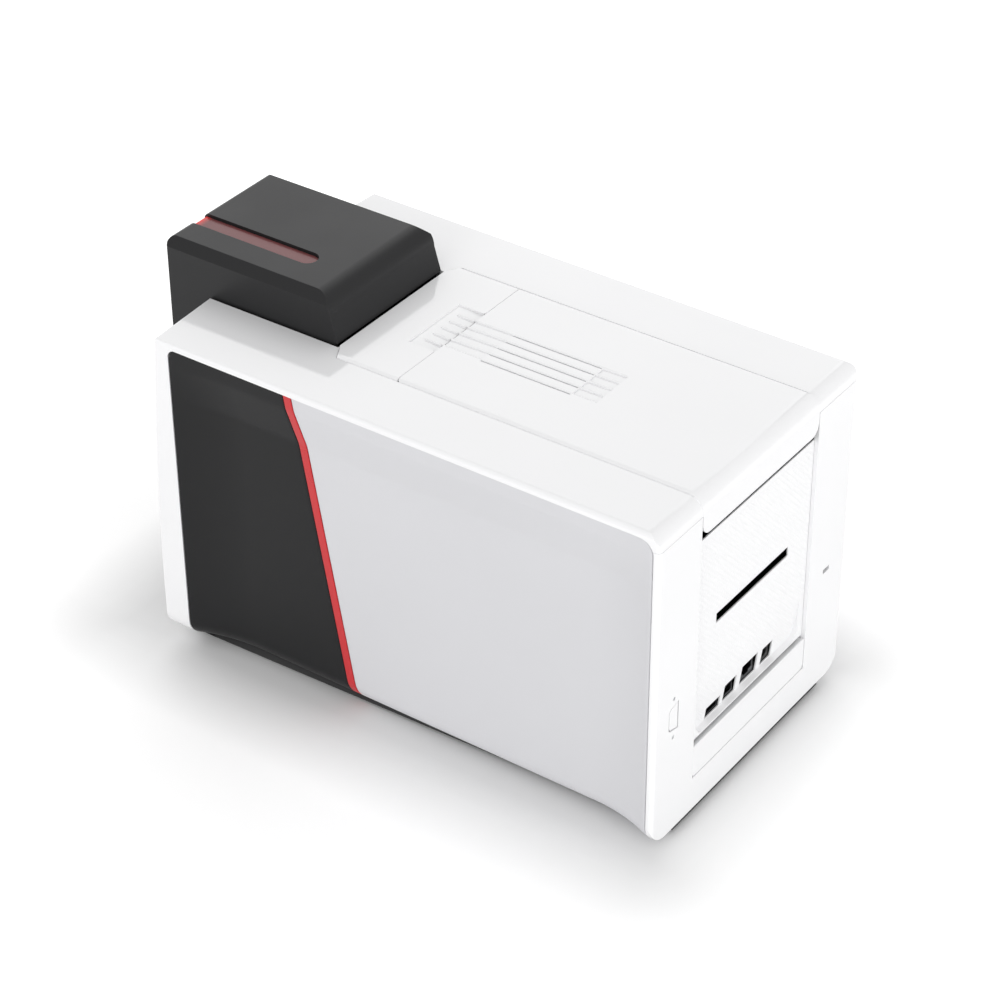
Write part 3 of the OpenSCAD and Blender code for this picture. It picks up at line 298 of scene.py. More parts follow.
@dataclass(frozen=True)
class GlowPaintedAcrylic(Finish):
    """Tinted acrylic: dusty red, with a brighter red and a glow towards one end that are painted light, as
    no lamp lies under it.
    """

    lit_colour: str
    lit_y_mm: float
    fade_mm: float
    glow: float
    shine: float
    ior: float = 1.49
    haze_mm: float = 12.0
    uneven_share: float = 0.2

    def looks(self, tree: bpy.types.NodeTree, place: bpy.types.NodeSocket) -> dict[str, Any]:
        """Add the painted glow and brighter red at the front end, and the haze inside the acrylic.

        Args:
            tree: The tree.
            place: The socket that gives the place on the piece.

        Returns:
            The shader's inputs.
        """
        along = add_node(tree, "ShaderNodeSeparateXYZ", {0: place}).outputs["Y"]
        # painted light: towards the front end the red brightens and glows, with no lamp to light it
        near = add_node(tree, "ShaderNodeMapRange", {
            "Value": along, "From Min": (self.lit_y_mm + self.fade_mm) * MM,
            "From Max": self.lit_y_mm * MM}, interpolation_type="SMOOTHSTEP").outputs[0]
        tint = add_node(tree, "ShaderNodeMix", {
            0: near, 6: linear(self.colour), 7: linear(self.lit_colour)}, data_type="RGBA").outputs[2]
        glow = add_node(tree, "ShaderNodeMath", {0: near, 1: self.glow}, operation="MULTIPLY")
        haze = noise(tree, place, self.haze_mm, detail=2.0)
        return {
            "Base Color": tint,
            "Emission Color": tint,
            "Emission Strength": glow.outputs[0],
            "Roughness": spread(tree, haze, self.roughness * (1 - self.uneven_share),
                                self.roughness * (1 + self.uneven_share), span=(0.0, 1.0)),
            "IOR": self.ior,
            "Specular IOR Level": self.shine,
        }


# The grain of a mould is a tenth of a millimetre or finer. It is drawn 5 to 10 times coarser in all of
# these plastics, so that a surface shows as broken and not as noise.
#
# High-gloss white ABS: polished mould, so it mirrors what stands on it
WHITE_GLOSS = MouldedPlastic("abs_white_polished", "#F6F6F7", roughness=0.08, grain_mm=1.2,
                             grain_height_mm=0.001, sheen_level=0.6, uneven=0.03)
# White ABS from an eroded mould: the same colour, but it spreads the light and mirrors nothing
WHITE_FINE = MouldedPlastic("abs_white_eroded", "#F5F5F6", roughness=0.42, grain_mm=0.7,
                            grain_height_mm=0.02)
# Black ABS of the side panels: satin, so the dish shows as soft gradients
BLACK_SATIN = MouldedPlastic("abs_black_satin", "#202021", roughness=0.38, grain_mm=0.6,
                             grain_height_mm=0.012, sheen_level=0.16, cloudy=0.08)
# Black polycarbonate of the feeder: satin, a tone lighter, with faint clouds from the melt
BLACK_FEEDER = MouldedPlastic("polycarbonate_black_satin", "#262627", roughness=0.36, grain_mm=0.6,
                              grain_height_mm=0.012, sheen_level=0.18, cloudy=0.06)
# Black ABS of hidden mouldings: dull and grainy, it swallows the light inside
BLACK_DULL = MouldedPlastic("abs_black_eroded", "#262627", roughness=0.55, grain_mm=0.8,
                            grain_height_mm=0.03, cloudy=0.1)
# Light grey ABS from a satin mould: an even tone with a broad soft shine
GREY_SATIN = MouldedPlastic("abs_light_grey_satin", "#D6D6D9", roughness=0.34, grain_mm=0.6,
                            grain_height_mm=0.01)
# Red ABS inlay: smooth, so the thin line stays clear and full in colour
RED_SATIN = MouldedPlastic("abs_red_smooth", "#C9242B", roughness=0.30, grain_mm=0.8,
                           grain_height_mm=0.006)
# Grey acetal of button and press plate: a soft shine, as on a handled piece
GREY_ACETAL = MouldedPlastic("acetal_grey", "#8C8E91", roughness=0.38, grain_mm=0.7,
                             grain_height_mm=0.01)
# Natural acetal: waxy white, a little yellow beside the casing
WHITE_ACETAL = MouldedPlastic("acetal_natural", "#E6E5E0", roughness=0.45, grain_mm=0.7,
                              grain_height_mm=0.01)
# Nitrile rubber: nearly black, dull and cloudy
RUBBER = MouldedPlastic("nitrile_rubber", "#1D1D1E", roughness=0.75, grain_mm=0.5, grain_height_mm=0.03,
                        cloudy=0.15)
# Solder mask over glass fibre: glossy green, uneven over the copper
SOLDER_MASK = MouldedPlastic("solder_mask_green", "#1B5A34", roughness=0.25, grain_mm=0.9,
                             grain_height_mm=0.01, cloudy=0.2)
# Epoxy paint of the motor and moulded power socket: black with a dim shine
BLACK_EPOXY = MouldedPlastic("epoxy_black", "#1A1A1B", roughness=0.5, grain_mm=0.5, grain_height_mm=0.02)
# Zinc-plated steel sheet: rolled, so its shine runs in fine lines along X
ZINC_STEEL = Metal("zinc_plated_steel", "#B9BBBD", roughness=0.34, line_mm=0.4)
# Ground steel shafts: a bright, even shine
GROUND_STEEL = Metal("ground_steel", "#C9CBCD", roughness=0.22, line_mm=0.2, stretch=1.0)
# Socket shells: nickel-plated steel, drawn darker than the plating as painted shade for the shade of their
# wells
NICKEL_WITH_PAINTED_SHADE = Metal("dark_nickel_plated_steel", "#5A5B5E", roughness=0.32, line_mm=0.3)
# Milled aluminium of the heat sink: pale, with the lines of the cutter
ALUMINIUM = Metal("milled_aluminium", "#D0D2D4", roughness=0.38, line_mm=0.3)
# Tinted acrylic strip: dusty red above; its bright red front and the glow there are painted light
RED_ACRYLIC = GlowPaintedAcrylic("acrylic_red", "#774445", roughness=0.24, lit_colour="#F0332E", lit_y_mm=-185.5,
                         fade_mm=8.0, glow=0.25, shine=0.25)


# ---------- meshes ----------


def to_object(name: str, mesh: bpy.types.Mesh) -> bpy.types.Object:
    """Wrap a mesh in an object at the origin and link it to the scene.

    Args:
        name: Name of the object.
        mesh: Its mesh.

    Returns:
        The object.
    """
    piece = bpy.data.objects.new(name, mesh)
    bpy.context.scene.collection.objects.link(piece)
    return piece


def applied(piece: bpy.types.Object) -> bpy.types.Object:
    """Bake a piece's modifiers into its mesh.

    Args:
        piece: The object with live modifiers.

    Returns:
        The same object, with the baked mesh and no modifier.
    """
    bpy.context.view_layer.update()
    graph = bpy.context.evaluated_depsgraph_get()
    baked = bpy.data.meshes.new_from_object(piece.evaluated_get(graph), depsgraph=graph)
    piece.modifiers.clear()
    piece.data = baked
    return piece


def smooth_by_angle(mesh: bpy.types.Mesh, degrees: float) -> None:
    """Shade a mesh smooth, apart from edges sharper than an angle."""
    mesh.shade_smooth()
    mesh.set_sharp_from_angle(angle=math.radians(degrees))


def new_tree(name: str,
             sizes: Sequence[str]) -> tuple[bpy.types.NodeTree, bpy.types.bpy_prop_collection]:
    """Start a geometry tree that takes a mesh, named sizes and a material.

    Args:
        name: The tree's name.
        sizes: Names of its inputs for sizes.

    Returns:
        The tree and the sockets of its inputs.
    """
    tree = bpy.data.node_groups.new(name, "GeometryNodeTree")
    face = tree.interface
    face.new_socket("Geometry", in_out="INPUT", socket_type="NodeSocketGeometry")
    for size in sizes:
        face.new_socket(size, in_out="INPUT", socket_type="NodeSocketFloat")
    face.new_socket("Material", in_out="INPUT", socket_type="NodeSocketMaterial")
    face.new_socket("Geometry", in_out="OUTPUT", socket_type="NodeSocketGeometry")
    return tree, add_node(tree, "NodeGroupInput").outputs


def end_tree(tree: bpy.types.NodeTree, shape: bpy.types.NodeSocket,
             material: bpy.types.NodeSocket) -> None:
    """End a geometry tree: make instances real, dress them and hand them out.

    Args:
        tree: The tree.
        shape: The socket that gives the shape.
        material: The socket that gives its material.
    """
    real = add_node(tree, "GeometryNodeRealizeInstances", {"Geometry": shape})
    dressed = add_node(tree, "GeometryNodeSetMaterial", {
        "Geometry": real.outputs[0], "Material": material})
    add_node(tree, "NodeGroupOutput", {"Geometry": dressed.outputs[0]})


def placed(tree: bpy.types.NodeTree, shape: bpy.types.NodeSocket,
           place: Sequence[bpy.types.NodeSocket]) -> bpy.types.NodeSocket:
    """Move the points of a shape in a geometry tree.

    Args:
        tree: The tree.
        shape: The socket that gives the shape.
        place: Sockets that give each point's X, Y and Z, in mm.

    Returns:
        The socket of the moved shape, in metres.
    """
    joint = add_node(tree, "ShaderNodeCombineXYZ", dict(enumerate(place)))
    metres = add_node(tree, "ShaderNodeVectorMath", {0: joint.outputs[0], "Scale": MM}, operation="SCALE")
    moved = add_node(tree, "GeometryNodeSetPosition", {"Geometry": shape, "Position": metres.outputs[0]})
    return moved.outputs[0]


def own_place(tree: bpy.types.NodeTree) -> bpy.types.bpy_prop_collection:
    """Hand out the sockets of each point's own X, Y and Z in a geometry tree."""
    place = add_node(tree, "GeometryNodeInputPosition").outputs[0]
    return add_node(tree, "ShaderNodeSeparateXYZ", {0: place}).outputs


def in_a_row(tree: bpy.types.NodeTree, shape: bpy.types.NodeSocket,
             given: Mapping[str, bpy.types.NodeSocket]) -> bpy.types.NodeSocket:
    """Repeat a shape along X in a geometry tree.

    Args:
        tree: The tree.
        shape: The socket that gives the shape.
        given: The tree's inputs, with count, pitch and first_x.

    Returns:
        The socket of the row.
    """
    start = add_node(tree, "ShaderNodeCombineXYZ", {0: given["first_x"]})
    step = add_node(tree, "ShaderNodeCombineXYZ", {0: given["pitch"]})
    line = add_node(tree, "GeometryNodeMeshLine", {
        "Count": given["count"], "Start Location": start.outputs[0], "Offset": step.outputs[0]})
    row = add_node(tree, "GeometryNodeInstanceOnPoints", {"Points": line.outputs[0], "Instance": shape})
    return row.outputs[0]


def grown(name: str, start: bpy.types.Mesh, tree: bpy.types.NodeTree,
          values: Mapping[str, Any]) -> bpy.types.Object:
    """Run a geometry tree on a start mesh and keep the result as a plain mesh.

    Args:
        name: Name of the piece.
        start: The mesh that the tree takes in.
        tree: The geometry tree.
        values: Input name to its value.

    Returns:
        The piece, without its modifier.
    """
    piece = to_object(name, start)
    modifier = piece.modifiers.new("grown", "NODES")
    modifier.node_group = tree
    for item in tree.interface.items_tree:
        if item.in_out == "INPUT" and item.name in values:
            modifier[item.identifier] = values[item.name]
    return applied(piece)


def joined(mesh: bpy.types.Mesh) -> bpy.types.Mesh:
    """Join a mesh's doubled points and the triangles of its flat faces.

    Args:
        mesh: The mesh, which is changed.

    Returns:
        The same mesh.
    """
    work = bmesh.new()
    work.from_mesh(mesh)
    bmesh.ops.remove_doubles(work, verts=work.verts, dist=SAME_POINT)
    bmesh.ops.dissolve_limit(work, angle_limit=math.radians(SAME_FACE), verts=work.verts,
                             edges=work.edges)
    work.to_mesh(mesh)
    work.free()
    return mesh


def merged(node: str) -> bpy.types.Mesh:
    """Copy a node's mesh with its triangles joined into faces.

    Args:
        node: The node's name.

    Returns:
        The new mesh.
    """
    mesh = frame["nodes"][node].data.copy()
    mesh.materials.clear()
    for name in ("custom_normal", "sharp_edge", "sharp_face"):
        if name in mesh.attributes:
            mesh.attributes.remove(mesh.attributes[name])
    return joined(mesh)


def reshaped(mesh: bpy.types.Mesh, rule: Callable[[float, float, float], Point]) -> bpy.types.Mesh:
    """Move the points of a mesh.

    Args:
        mesh: The mesh, which is changed.
        rule: Gives the new place of a point from its old one, in mm.

    Returns:
        The same mesh.
    """
    for vertex in mesh.vertices:
        vertex.co = Vector(rule(*(c / MM for c in vertex.co))) * MM
    return mesh


def block(low: Point, high: Point) -> bpy.types.Mesh:
    """Make a box between two corners.

    Args:
        low: The lowest corner, in mm.
        high: The highest corner, in mm.

    Returns:
        The new mesh.
    """
    work = bmesh.new()
    bmesh.ops.create_cube(work, size=1.0)
    for vertex in work.verts:
        vertex.co = Vector((h if c > 0 else l) * MM for c, l, h in zip(vertex.co, low, high))
    mesh = bpy.data.meshes.new("block")
    work.to_mesh(mesh)
    work.free()
    return mesh


def filled(mesh: bpy.types.Mesh, low: Point, high: Point) -> bpy.types.Mesh:
    """Fill a mesh's recesses with a box between two corners.

    Args:
        mesh: The mesh with the recesses.
        low: The box's lowest corner, in mm.
        high: Its highest corner, in mm.

    Returns:
        The filled mesh.
    """
    piece, plug = to_object("filled", mesh), to_object("plug", block(low, high))
    union = piece.modifiers.new("union", "BOOLEAN")
    union.operation, union.solver, union.object = "UNION", "EXACT", plug
    result = joined(applied(piece).data)
    for used in (piece, plug):
        bpy.data.objects.remove(used)
    return result


def mounted(piece: bpy.types.Object, node: str, finish: Finish, stands: bool = True) -> bpy.types.Object:
    """Make a piece ride where a node rides, and hide the node where the piece stands for it.

    Args:
        piece: The piece.
        node: The node that it stands for, or that carries it.
        finish: What it is made of.
        stands: Whether it stands for the node.

    Returns:
        The same piece.
    """
    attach(piece, frame["nodes"][node]["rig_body"])
    if stands:
        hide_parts(node)
    log.info("%s: %d faces, %s", piece.name, len(piece.data.polygons), finish.name)
    return piece


def rounded_rim(mesh: bpy.types.Mesh, level_z: float, radius: float, sharp: float = 60.0,
                slack: float = 0.05) -> bpy.types.Mesh:
    """Round the sharp edges round a mesh's top face.

    Args:
        mesh: The mesh, which is changed.
        level_z: Height of the top face, in mm.
        radius: Radius of the round, in mm.
        sharp: Angle in degrees above which an edge counts as one.
        slack: How far from the level a point may lie, in mm.

    Returns:
        The same mesh.
    """
    work = bmesh.new()
    work.from_mesh(mesh)
    rim = [e for e in work.edges if len(e.link_faces) == 2 and e.calc_face_angle() > math.radians(sharp)
           and all(abs(v.co.z / MM - level_z) < slack for v in e.verts)]
    bmesh.ops.bevel(work, geom=rim, offset=radius * MM, segments=3, profile=0.5, affect="EDGES",
                    clamp_overlap=True)
    work.to_mesh(mesh)
    work.free()
    return mesh


def edged(piece: bpy.types.Object, edge_mm: float, segments: int) -> bpy.types.Object:
    """Round a piece's edges and weigh its normals, so that flats stay flat.

    Args:
        piece: The piece.
        edge_mm: Radius on its edges, or 0 to leave them sharp.
        segments: Number of facets across an edge.

    Returns:
        The same piece.
    """
    smooth_by_angle(piece.data, SHARP)
    if edge_mm > 0:
        bevel = piece.modifiers.new("edges", "BEVEL")
        bevel.width = edge_mm * MM
        bevel.segments = segments
        bevel.limit_method = "ANGLE"
        bevel.angle_limit = math.radians(SHARP)
        bevel.miter_outer = "MITER_ARC"
        bevel.use_clamp_overlap = True
        bevel.harden_normals = False
    weights = piece.modifiers.new("normals", "WEIGHTED_NORMAL")
    weights.keep_sharp = True
    return applied(piece)


def carried(node: str, finish: Finish, edge_mm: float, segments: int = 2,
            mesh: bpy.types.Mesh | None = None) -> bpy.types.Object:
    """Make the visible piece of a node, with broken edges and its finish.

    Args:
        node: The node that the piece stands for.
        finish: What it is made of.
        edge_mm: Radius on its edges, or 0 to leave them.
        segments: Number of facets across an edge.
        mesh: Its shape, where that isn't the node's own.

    Returns:
        The new piece.
    """
    piece = edged(to_object("piece_" + node, mesh or merged(node)), edge_mm, segments)
    if edge_mm > 0:
        piece.data.shade_smooth()
    piece.data.materials.clear()
    piece.data.materials.append(finish.material())
    return mounted(piece, node, finish)


# ---------- sides ----------


class Side(Enum):
    """The two long sides, by the sign of X."""

    RIGHT = 1
    LEFT = -1


class Section(Enum):
    """The three skins of a side: the terms that are its front and rear edges, and its node's name."""

    FRONT = ("field_front", "stripe_front_gap", "front_panel")
    STRIPE = ("stripe_front", "stripe_rear", "stripe")
    REAR = ("stripe_rear_gap", "field_rear", "rear_panel")


Term = str | float
Step = tuple[Term, ...]


def work_out(tree: bpy.types.NodeTree, law: Sequence[Step],
             terms: MutableMapping[Term, bpy.types.NodeSocket]) -> None:
    """Turn the steps of a law into Math nodes, each result a new term.

    Args:
        tree: The tree that gets the nodes.
        law: Rows of a result, an operation and the terms that go in.
        terms: Known terms by name, to which the results are added.
    """
    for result, operation, *given in law:
        sockets = {k: terms.get(term, term) for k, term in enumerate(given)}
        terms[result] = add_node(tree, "ShaderNodeMath", sockets, operation=operation).outputs[0]


def rounding(result: str, over: Term, radius: Term) -> tuple[Step, ...]:
    """Write the steps of a quarter round: how far it falls, over mm past its start.

    Args:
        result: Name of the fall.
        over: Distance past the start of the round.
        radius: Its radius.

    Returns:
        The steps, each a name, an operation and its terms.
    """
    return (
        (result + "_over", "MAXIMUM", over, 0.0),
        (result + "_over2", "MULTIPLY", result + "_over", result + "_over"),
        (result + "_left", "MULTIPLY_ADD", radius, radius, 0.0),
        (result + "_left2", "SUBTRACT", result + "_left", result + "_over2"),
        (result + "_left3", "MAXIMUM", result + "_left2", 0.0),
        (result + "_root", "SQRT", result + "_left3"),
        (result, "SUBTRACT", radius, result + "_root"),
    )


def easing(result: str, run: Term, length: Term) -> tuple[Step, ...]:
    """Write the steps of a cove that starts steeply and levels out: 0 at its border, 1 past its length.

    Args:
        result: Name of the share.
        run: Distance from the border.
        length: Length of the cove.

    Returns:
        The steps.
    """
    return (
        (result + "_share", "DIVIDE", run, length),
        (result + "_low", "MAXIMUM", result + "_share", 0.0),
        (result + "_high", "MINIMUM", result + "_low", 1.0),
        (result + "_rest", "SUBTRACT", 1.0, result + "_high"),
        (result + "_rest2", "MULTIPLY", result + "_rest", result + "_rest"),
        (result, "SUBTRACT", 1.0, result + "_rest2"),
    )


# The law of the side. A point starts as its share between the edges, its station down the side and
# its angle in the roll under the side, and ends as a place in mm.
EDGE_LAW: tuple[Step, ...] = (
    ("sine", "SINE", "angle"),
    ("cosine", "COSINE", "angle"),
    ("tucked", "MULTIPLY", "roll_r", "sine"),
    ("height", "SUBTRACT", "station", "tucked"),
    ("from_top", "SUBTRACT", "top_z", "height"),
    ("side_h", "SUBTRACT", "top_z", "foot_z"),
    ("upright_h", "SUBTRACT", "side_h", "roll_r"),
    ("way_down", "DIVIDE", "from_top", "upright_h"),
    ("stripe_run", "SUBTRACT", "stripe_foot_y", "stripe_top_y"),
    ("stripe_rear", "MULTIPLY_ADD", "stripe_run", "way_down", "stripe_top_y"),
    ("stripe_rear_gap", "ADD", "stripe_rear", "gap"),
    ("widening", "SUBTRACT", "stripe_w_foot", "stripe_w_top"),
    ("stripe_w", "MULTIPLY_ADD", "widening", "way_down", "stripe_w_top"),
    ("stripe_front", "SUBTRACT", "stripe_rear", "stripe_w"),
    ("stripe_front_gap", "SUBTRACT", "stripe_front", "gap"),
    ("front_round_over", "SUBTRACT", "corner_front", "from_top"),
    *rounding("front_cut", "front_round_over", "corner_front"),
    ("field_front", "ADD", "front_y", "front_cut"),
    ("rear_round_over", "SUBTRACT", "corner_rear", "from_top"),
    *rounding("rear_cut", "rear_round_over", "corner_rear"),
    ("field_rear", "SUBTRACT", "back_y", "rear_cut"),
)
SURFACE_LAW: tuple[Step, ...] = (
    ("span", "SUBTRACT", "edge_b", "edge_a"),
    ("flat_span", "MULTIPLY_ADD", "edge_r", -2.0, "span"),
    ("flat_start", "ADD", "edge_a", "edge_r"),
    ("y_flat", "MULTIPLY_ADD", "share", "flat_span", "flat_start"),
    ("y", "ADD", "y_flat", "offset"),
    ("from_a", "SUBTRACT", "y", "edge_a"),
    ("from_b", "SUBTRACT", "edge_b", "y"),
    ("from_edge", "MINIMUM", "from_a", "from_b"),
    ("from_rim", "SUBTRACT", "top_z", "station"),
    ("from_border", "MINIMUM", "from_edge", "from_rim"),
    ("edge_over", "SUBTRACT", "edge_r", "from_border"),
    *rounding("edge_fall", "edge_over", "edge_r"),
    ("outer", "SUBTRACT", 1.0, "layer"),
    ("outer_fall", "MULTIPLY", "edge_fall", "outer"),
    ("sunk", "MULTIPLY_ADD", "thick", "layer", "outer_fall"),
    ("radius", "SUBTRACT", "roll_r", "sunk"),
    ("run_front", "SUBTRACT", "y", "front_y"),
    ("run_rear", "SUBTRACT", "back_y", "y"),
    *easing("ease_front", "run_front", "cove_front"),
    *easing("ease_rear", "run_rear", "cove_rear"),
    ("along", "MINIMUM", "ease_front", "ease_rear"),
    ("lip_low", "SUBTRACT", "from_rim", "lip_h"),
    ("slope_share", "DIVIDE", "lip_low", "slope_h"),
    ("slope_start", "SMOOTH_MAX", "slope_share", 0.0, "kink_soft"),
    ("slope", "SMOOTH_MIN", "slope_start", 1.0, "kink_soft"),
    ("below_lip", "SUBTRACT", "depth", "lip_d"),
    ("full_depth", "MULTIPLY_ADD", "below_lip", "slope", "lip_d"),
    ("dish", "MULTIPLY", "full_depth", "along"),
    ("side_x", "SUBTRACT", "half_w", "dish"),
    ("centre_x", "SUBTRACT", "side_x", "roll_r"),
    ("roll_x", "MULTIPLY_ADD", "radius", "cosine", "centre_x"),
    ("to_foot", "SUBTRACT", "inner_x", "roll_x"),
    ("x", "MULTIPLY_ADD", "to_foot", "foot", "roll_x"),
    ("dropped", "MULTIPLY", "radius", "sine"),
    ("z", "SUBTRACT", "station", "dropped"),
)


# Shares of an edge radius at which a rounded border gets a line of points
ROUND_STEPS = (0.0, 0.08, 0.3, 0.62)


@dataclass
class DishedSide:
    """One long side: a dished skin in three colours, rolled under at its foot. Sizes are in mm."""

    # how closely the grid is laid: rows to past the slope, rows below it, and degrees in the roll
    fine_step: ClassVar[float] = 1.1
    fine_past: ClassVar[float] = 8.0
    coarse_rows: ClassVar[int] = 14
    roll_step: ClassVar[int] = 6
    stripe_columns: ClassVar[int] = 4
    # what the grid notes at each point: the way into a rounded border, the layer and the foot
    marks: ClassVar[tuple[str, ...]] = ("offset", "layer", "foot")
    # edge radii of the stripe and of the grey skin
    stripe_edge: ClassVar[float] = 0.5
    grey_edge: ClassVar[float] = 1.1

    side: Side
    half_w: float = 102.5
    front_y: float = -141.0
    back_y: float = 185.9
    top_z: float = 212.2
    foot_z: float = 5.0
    depth: float = 8.75
    lip_d: float = 3.75
    lip_h: float = 11.0
    slope_h: float = 24.5
    kink_soft: float = 0.12
    cove_front: float = 45.0
    cove_rear: float = 40.0
    roll_r: float = 15.0
    inner_x: float = 78.0
    corner_front: float = 5.5
    corner_rear: float = 9.0
    thick: float = 2.6
    gap: float = 0.3
    edge_r: float = 0.7
    stripe_top_y: float = -55.9
    stripe_foot_y: float = -22.3
    stripe_w_top: float = 5.4
    stripe_w_foot: float = 5.3
    columns: int = 40

    def stations(self, edge_r: float) -> list[tuple[float, float, float]]:
        """List height, roll angle and foot mark of each row, from the top rim to the foot.

        Args:
            edge_r: Radius along the top edge.

        Returns:
            One row each, the angle in radians.
        """
        heights = [self.top_z - edge_r * s for s in ROUND_STEPS]
        start = self.foot_z + self.roll_r
        fine = self.top_z - self.lip_h - self.slope_h - self.fine_past
        fine_rows = int((self.top_z - edge_r - fine) / self.fine_step)
        heights += [self.top_z - edge_r - k * self.fine_step for k in range(fine_rows)]
        heights += [fine + (start - fine) * k / self.coarse_rows for k in range(self.coarse_rows)]
        rows = [(z, 0.0, 0.0) for z in heights]
        rows += [(start, math.radians(a), 0.0) for a in range(0, 91, self.roll_step)]
        rows.append((start, math.radians(90), 1.0))
        return rows

    def sheet(self, name: str, edge_r: float, columns: int) -> bpy.types.Mesh:
        """Lay out the closed double grid that the law bends into a skin.

        Args:
            name: Name of the mesh.
            edge_r: Radius along the borders.
            columns: Number of columns between the borders.

        Returns:
            The grid, with share, station and angle as its coordinates.
        """
        insets = [edge_r * s for s in ROUND_STEPS]
        across = [(0.0, s - edge_r) for s in insets]
        across += [(k / columns, 0.0) for k in range(columns + 1)]
        across += [(1.0, edge_r - s) for s in reversed(insets)]
        down = self.stations(edge_r)
        verts = [(share, z, angle) for _ in (0, 1) for z, angle, _ in down for share, _ in across]
        noted = (
            [offset for _ in (0, 1) for _ in down for _, offset in across],
            [float(layer) for layer in (0, 1) for _ in down for _ in across],
            [foot for _ in (0, 1) for _, _, foot in down for _ in across],
        )
        cols, rows = len(across), len(down)

        def spot(layer: int, i: int, j: int) -> int:
            """Number the point of a layer in row i and column j."""
            return (layer * rows + i) * cols + j

        faces = []
        for i in range(rows - 1):
            for j in range(cols - 1):
                faces.append((spot(0, i, j), spot(0, i, j + 1),
                              spot(0, i + 1, j + 1), spot(0, i + 1, j)))
                faces.append((spot(1, i, j), spot(1, i + 1, j),
                              spot(1, i + 1, j + 1), spot(1, i, j + 1)))
        for j in range(cols - 1):
            faces.append((spot(0, 0, j + 1), spot(0, 0, j), spot(1, 0, j), spot(1, 0, j + 1)))
            faces.append((spot(0, rows - 1, j), spot(0, rows - 1, j + 1), spot(1, rows - 1, j + 1),
                          spot(1, rows - 1, j)))
        for i in range(rows - 1):
            faces.append((spot(0, i, 0), spot(0, i + 1, 0), spot(1, i + 1, 0), spot(1, i, 0)))
            faces.append((spot(0, i + 1, cols - 1), spot(0, i, cols - 1), spot(1, i, cols - 1),
                          spot(1, i + 1, cols - 1)))
        if self.side is Side.LEFT:
            faces = [tuple(reversed(f)) for f in faces]
        mesh = bpy.data.meshes.new(name)
        mesh.from_pydata(verts, [], faces)
        for mark, values in zip(self.marks, noted):
            mesh.attributes.new(mark, "FLOAT", "POINT").data.foreach_set("value", values)
        return mesh

    def tree(self, section: Section) -> bpy.types.NodeTree:
        """Build the tree that bends the flat grid by the law of the side.

        Args:
            section: Which of the three skins it makes.

        Returns:
            The geometry tree.
        """
        sizes = [f.name for f in fields(self) if f.name not in ("side", "columns")]
        tree, given = new_tree("dished_" + section.name.lower(), sizes + ["mirror"])
        terms: dict[Term, bpy.types.NodeSocket] = {size: given[size] for size in sizes}
        terms.update(zip(("share", "station", "angle"), own_place(tree)))
        for mark in self.marks:
            terms[mark] = add_node(tree, "GeometryNodeInputNamedAttribute", {"Name": mark},
                                   data_type="FLOAT").outputs[0]
        front, rear, _ = section.value
        naming = (("edge_a", "ADD", front, 0.0), ("edge_b", "ADD", rear, 0.0))
        work_out(tree, EDGE_LAW + naming + SURFACE_LAW, terms)
        mirrored = add_node(tree, "ShaderNodeMath", {0: terms["x"], 1: given["mirror"]},
                            operation="MULTIPLY")
        bent = placed(tree, given["Geometry"], (mirrored.outputs[0], terms["y"], terms["z"]))
        end_tree(tree, bent, given["Material"])
        return tree

    def skin(self, section: Section, finish: Finish, edge_r: float, columns: int) -> bpy.types.Object:
        """Build one of the three skins.

        Args:
            section: Which skin.
            finish: What it is made of.
            edge_r: Radius along its borders.
            columns: Number of columns between the borders.

        Returns:
            The piece.
        """
        node = self.side.name.lower() + "_" + section.value[2]
        values = {f.name: getattr(self, f.name) for f in fields(self)}
        values.update(edge_r=edge_r, mirror=float(self.side.value), Material=finish.material())
        piece = grown("piece_" + node, self.sheet(node, edge_r, columns), self.tree(section), values)
        for mark in self.marks:
            piece.data.attributes.remove(piece.data.attributes[mark])
        smooth_by_angle(piece.data, degrees=50)
        return mounted(piece, node, finish)

    def build(self) -> list[bpy.types.Object]:
        """Build the black front, the red stripe and the grey rear of this side.

        Returns:
            The three pieces.
        """
        return [
            self.skin(Section.FRONT, BLACK_SATIN, self.edge_r, self.columns),
            self.skin(Section.STRIPE, RED_SATIN, self.stripe_edge, self.stripe_columns),
            self.skin(Section.REAR, GREY_SATIN, self.grey_edge, 2 * self.columns),
        ]


# ---------- casing, lid, feeder, mechanism ----------


# How far a cut reaches up past the face that it opens, in mm
CUT_CLEAR = 3.0
# How a plain cube, 2 high, becomes a cut that is open above and has a sloping floor.
CUT_LAW: tuple[Step, ...] = (
    ("over", "MULTIPLY_ADD", "cube_z", 0.5, 0.5),
    ("run", "DIVIDE", "cube_y", "length"),
    ("share", "ADD", "run", 0.5),
    ("fall", "SUBTRACT", "depth_end", "depth_start"),
    ("depth", "MULTIPLY_ADD", "fall", "share", "depth_start"),
    ("floor", "SUBTRACT", "top_z", "depth"),
    ("rise", "ADD", "depth", CUT_CLEAR),
    ("z", "MULTIPLY_ADD", "rise", "over", "floor"),
    ("both", "ADD", "start_y", "end_y"),
    ("middle", "MULTIPLY", "both", 0.5),
    ("y", "ADD", "cube_y", "middle"),
)


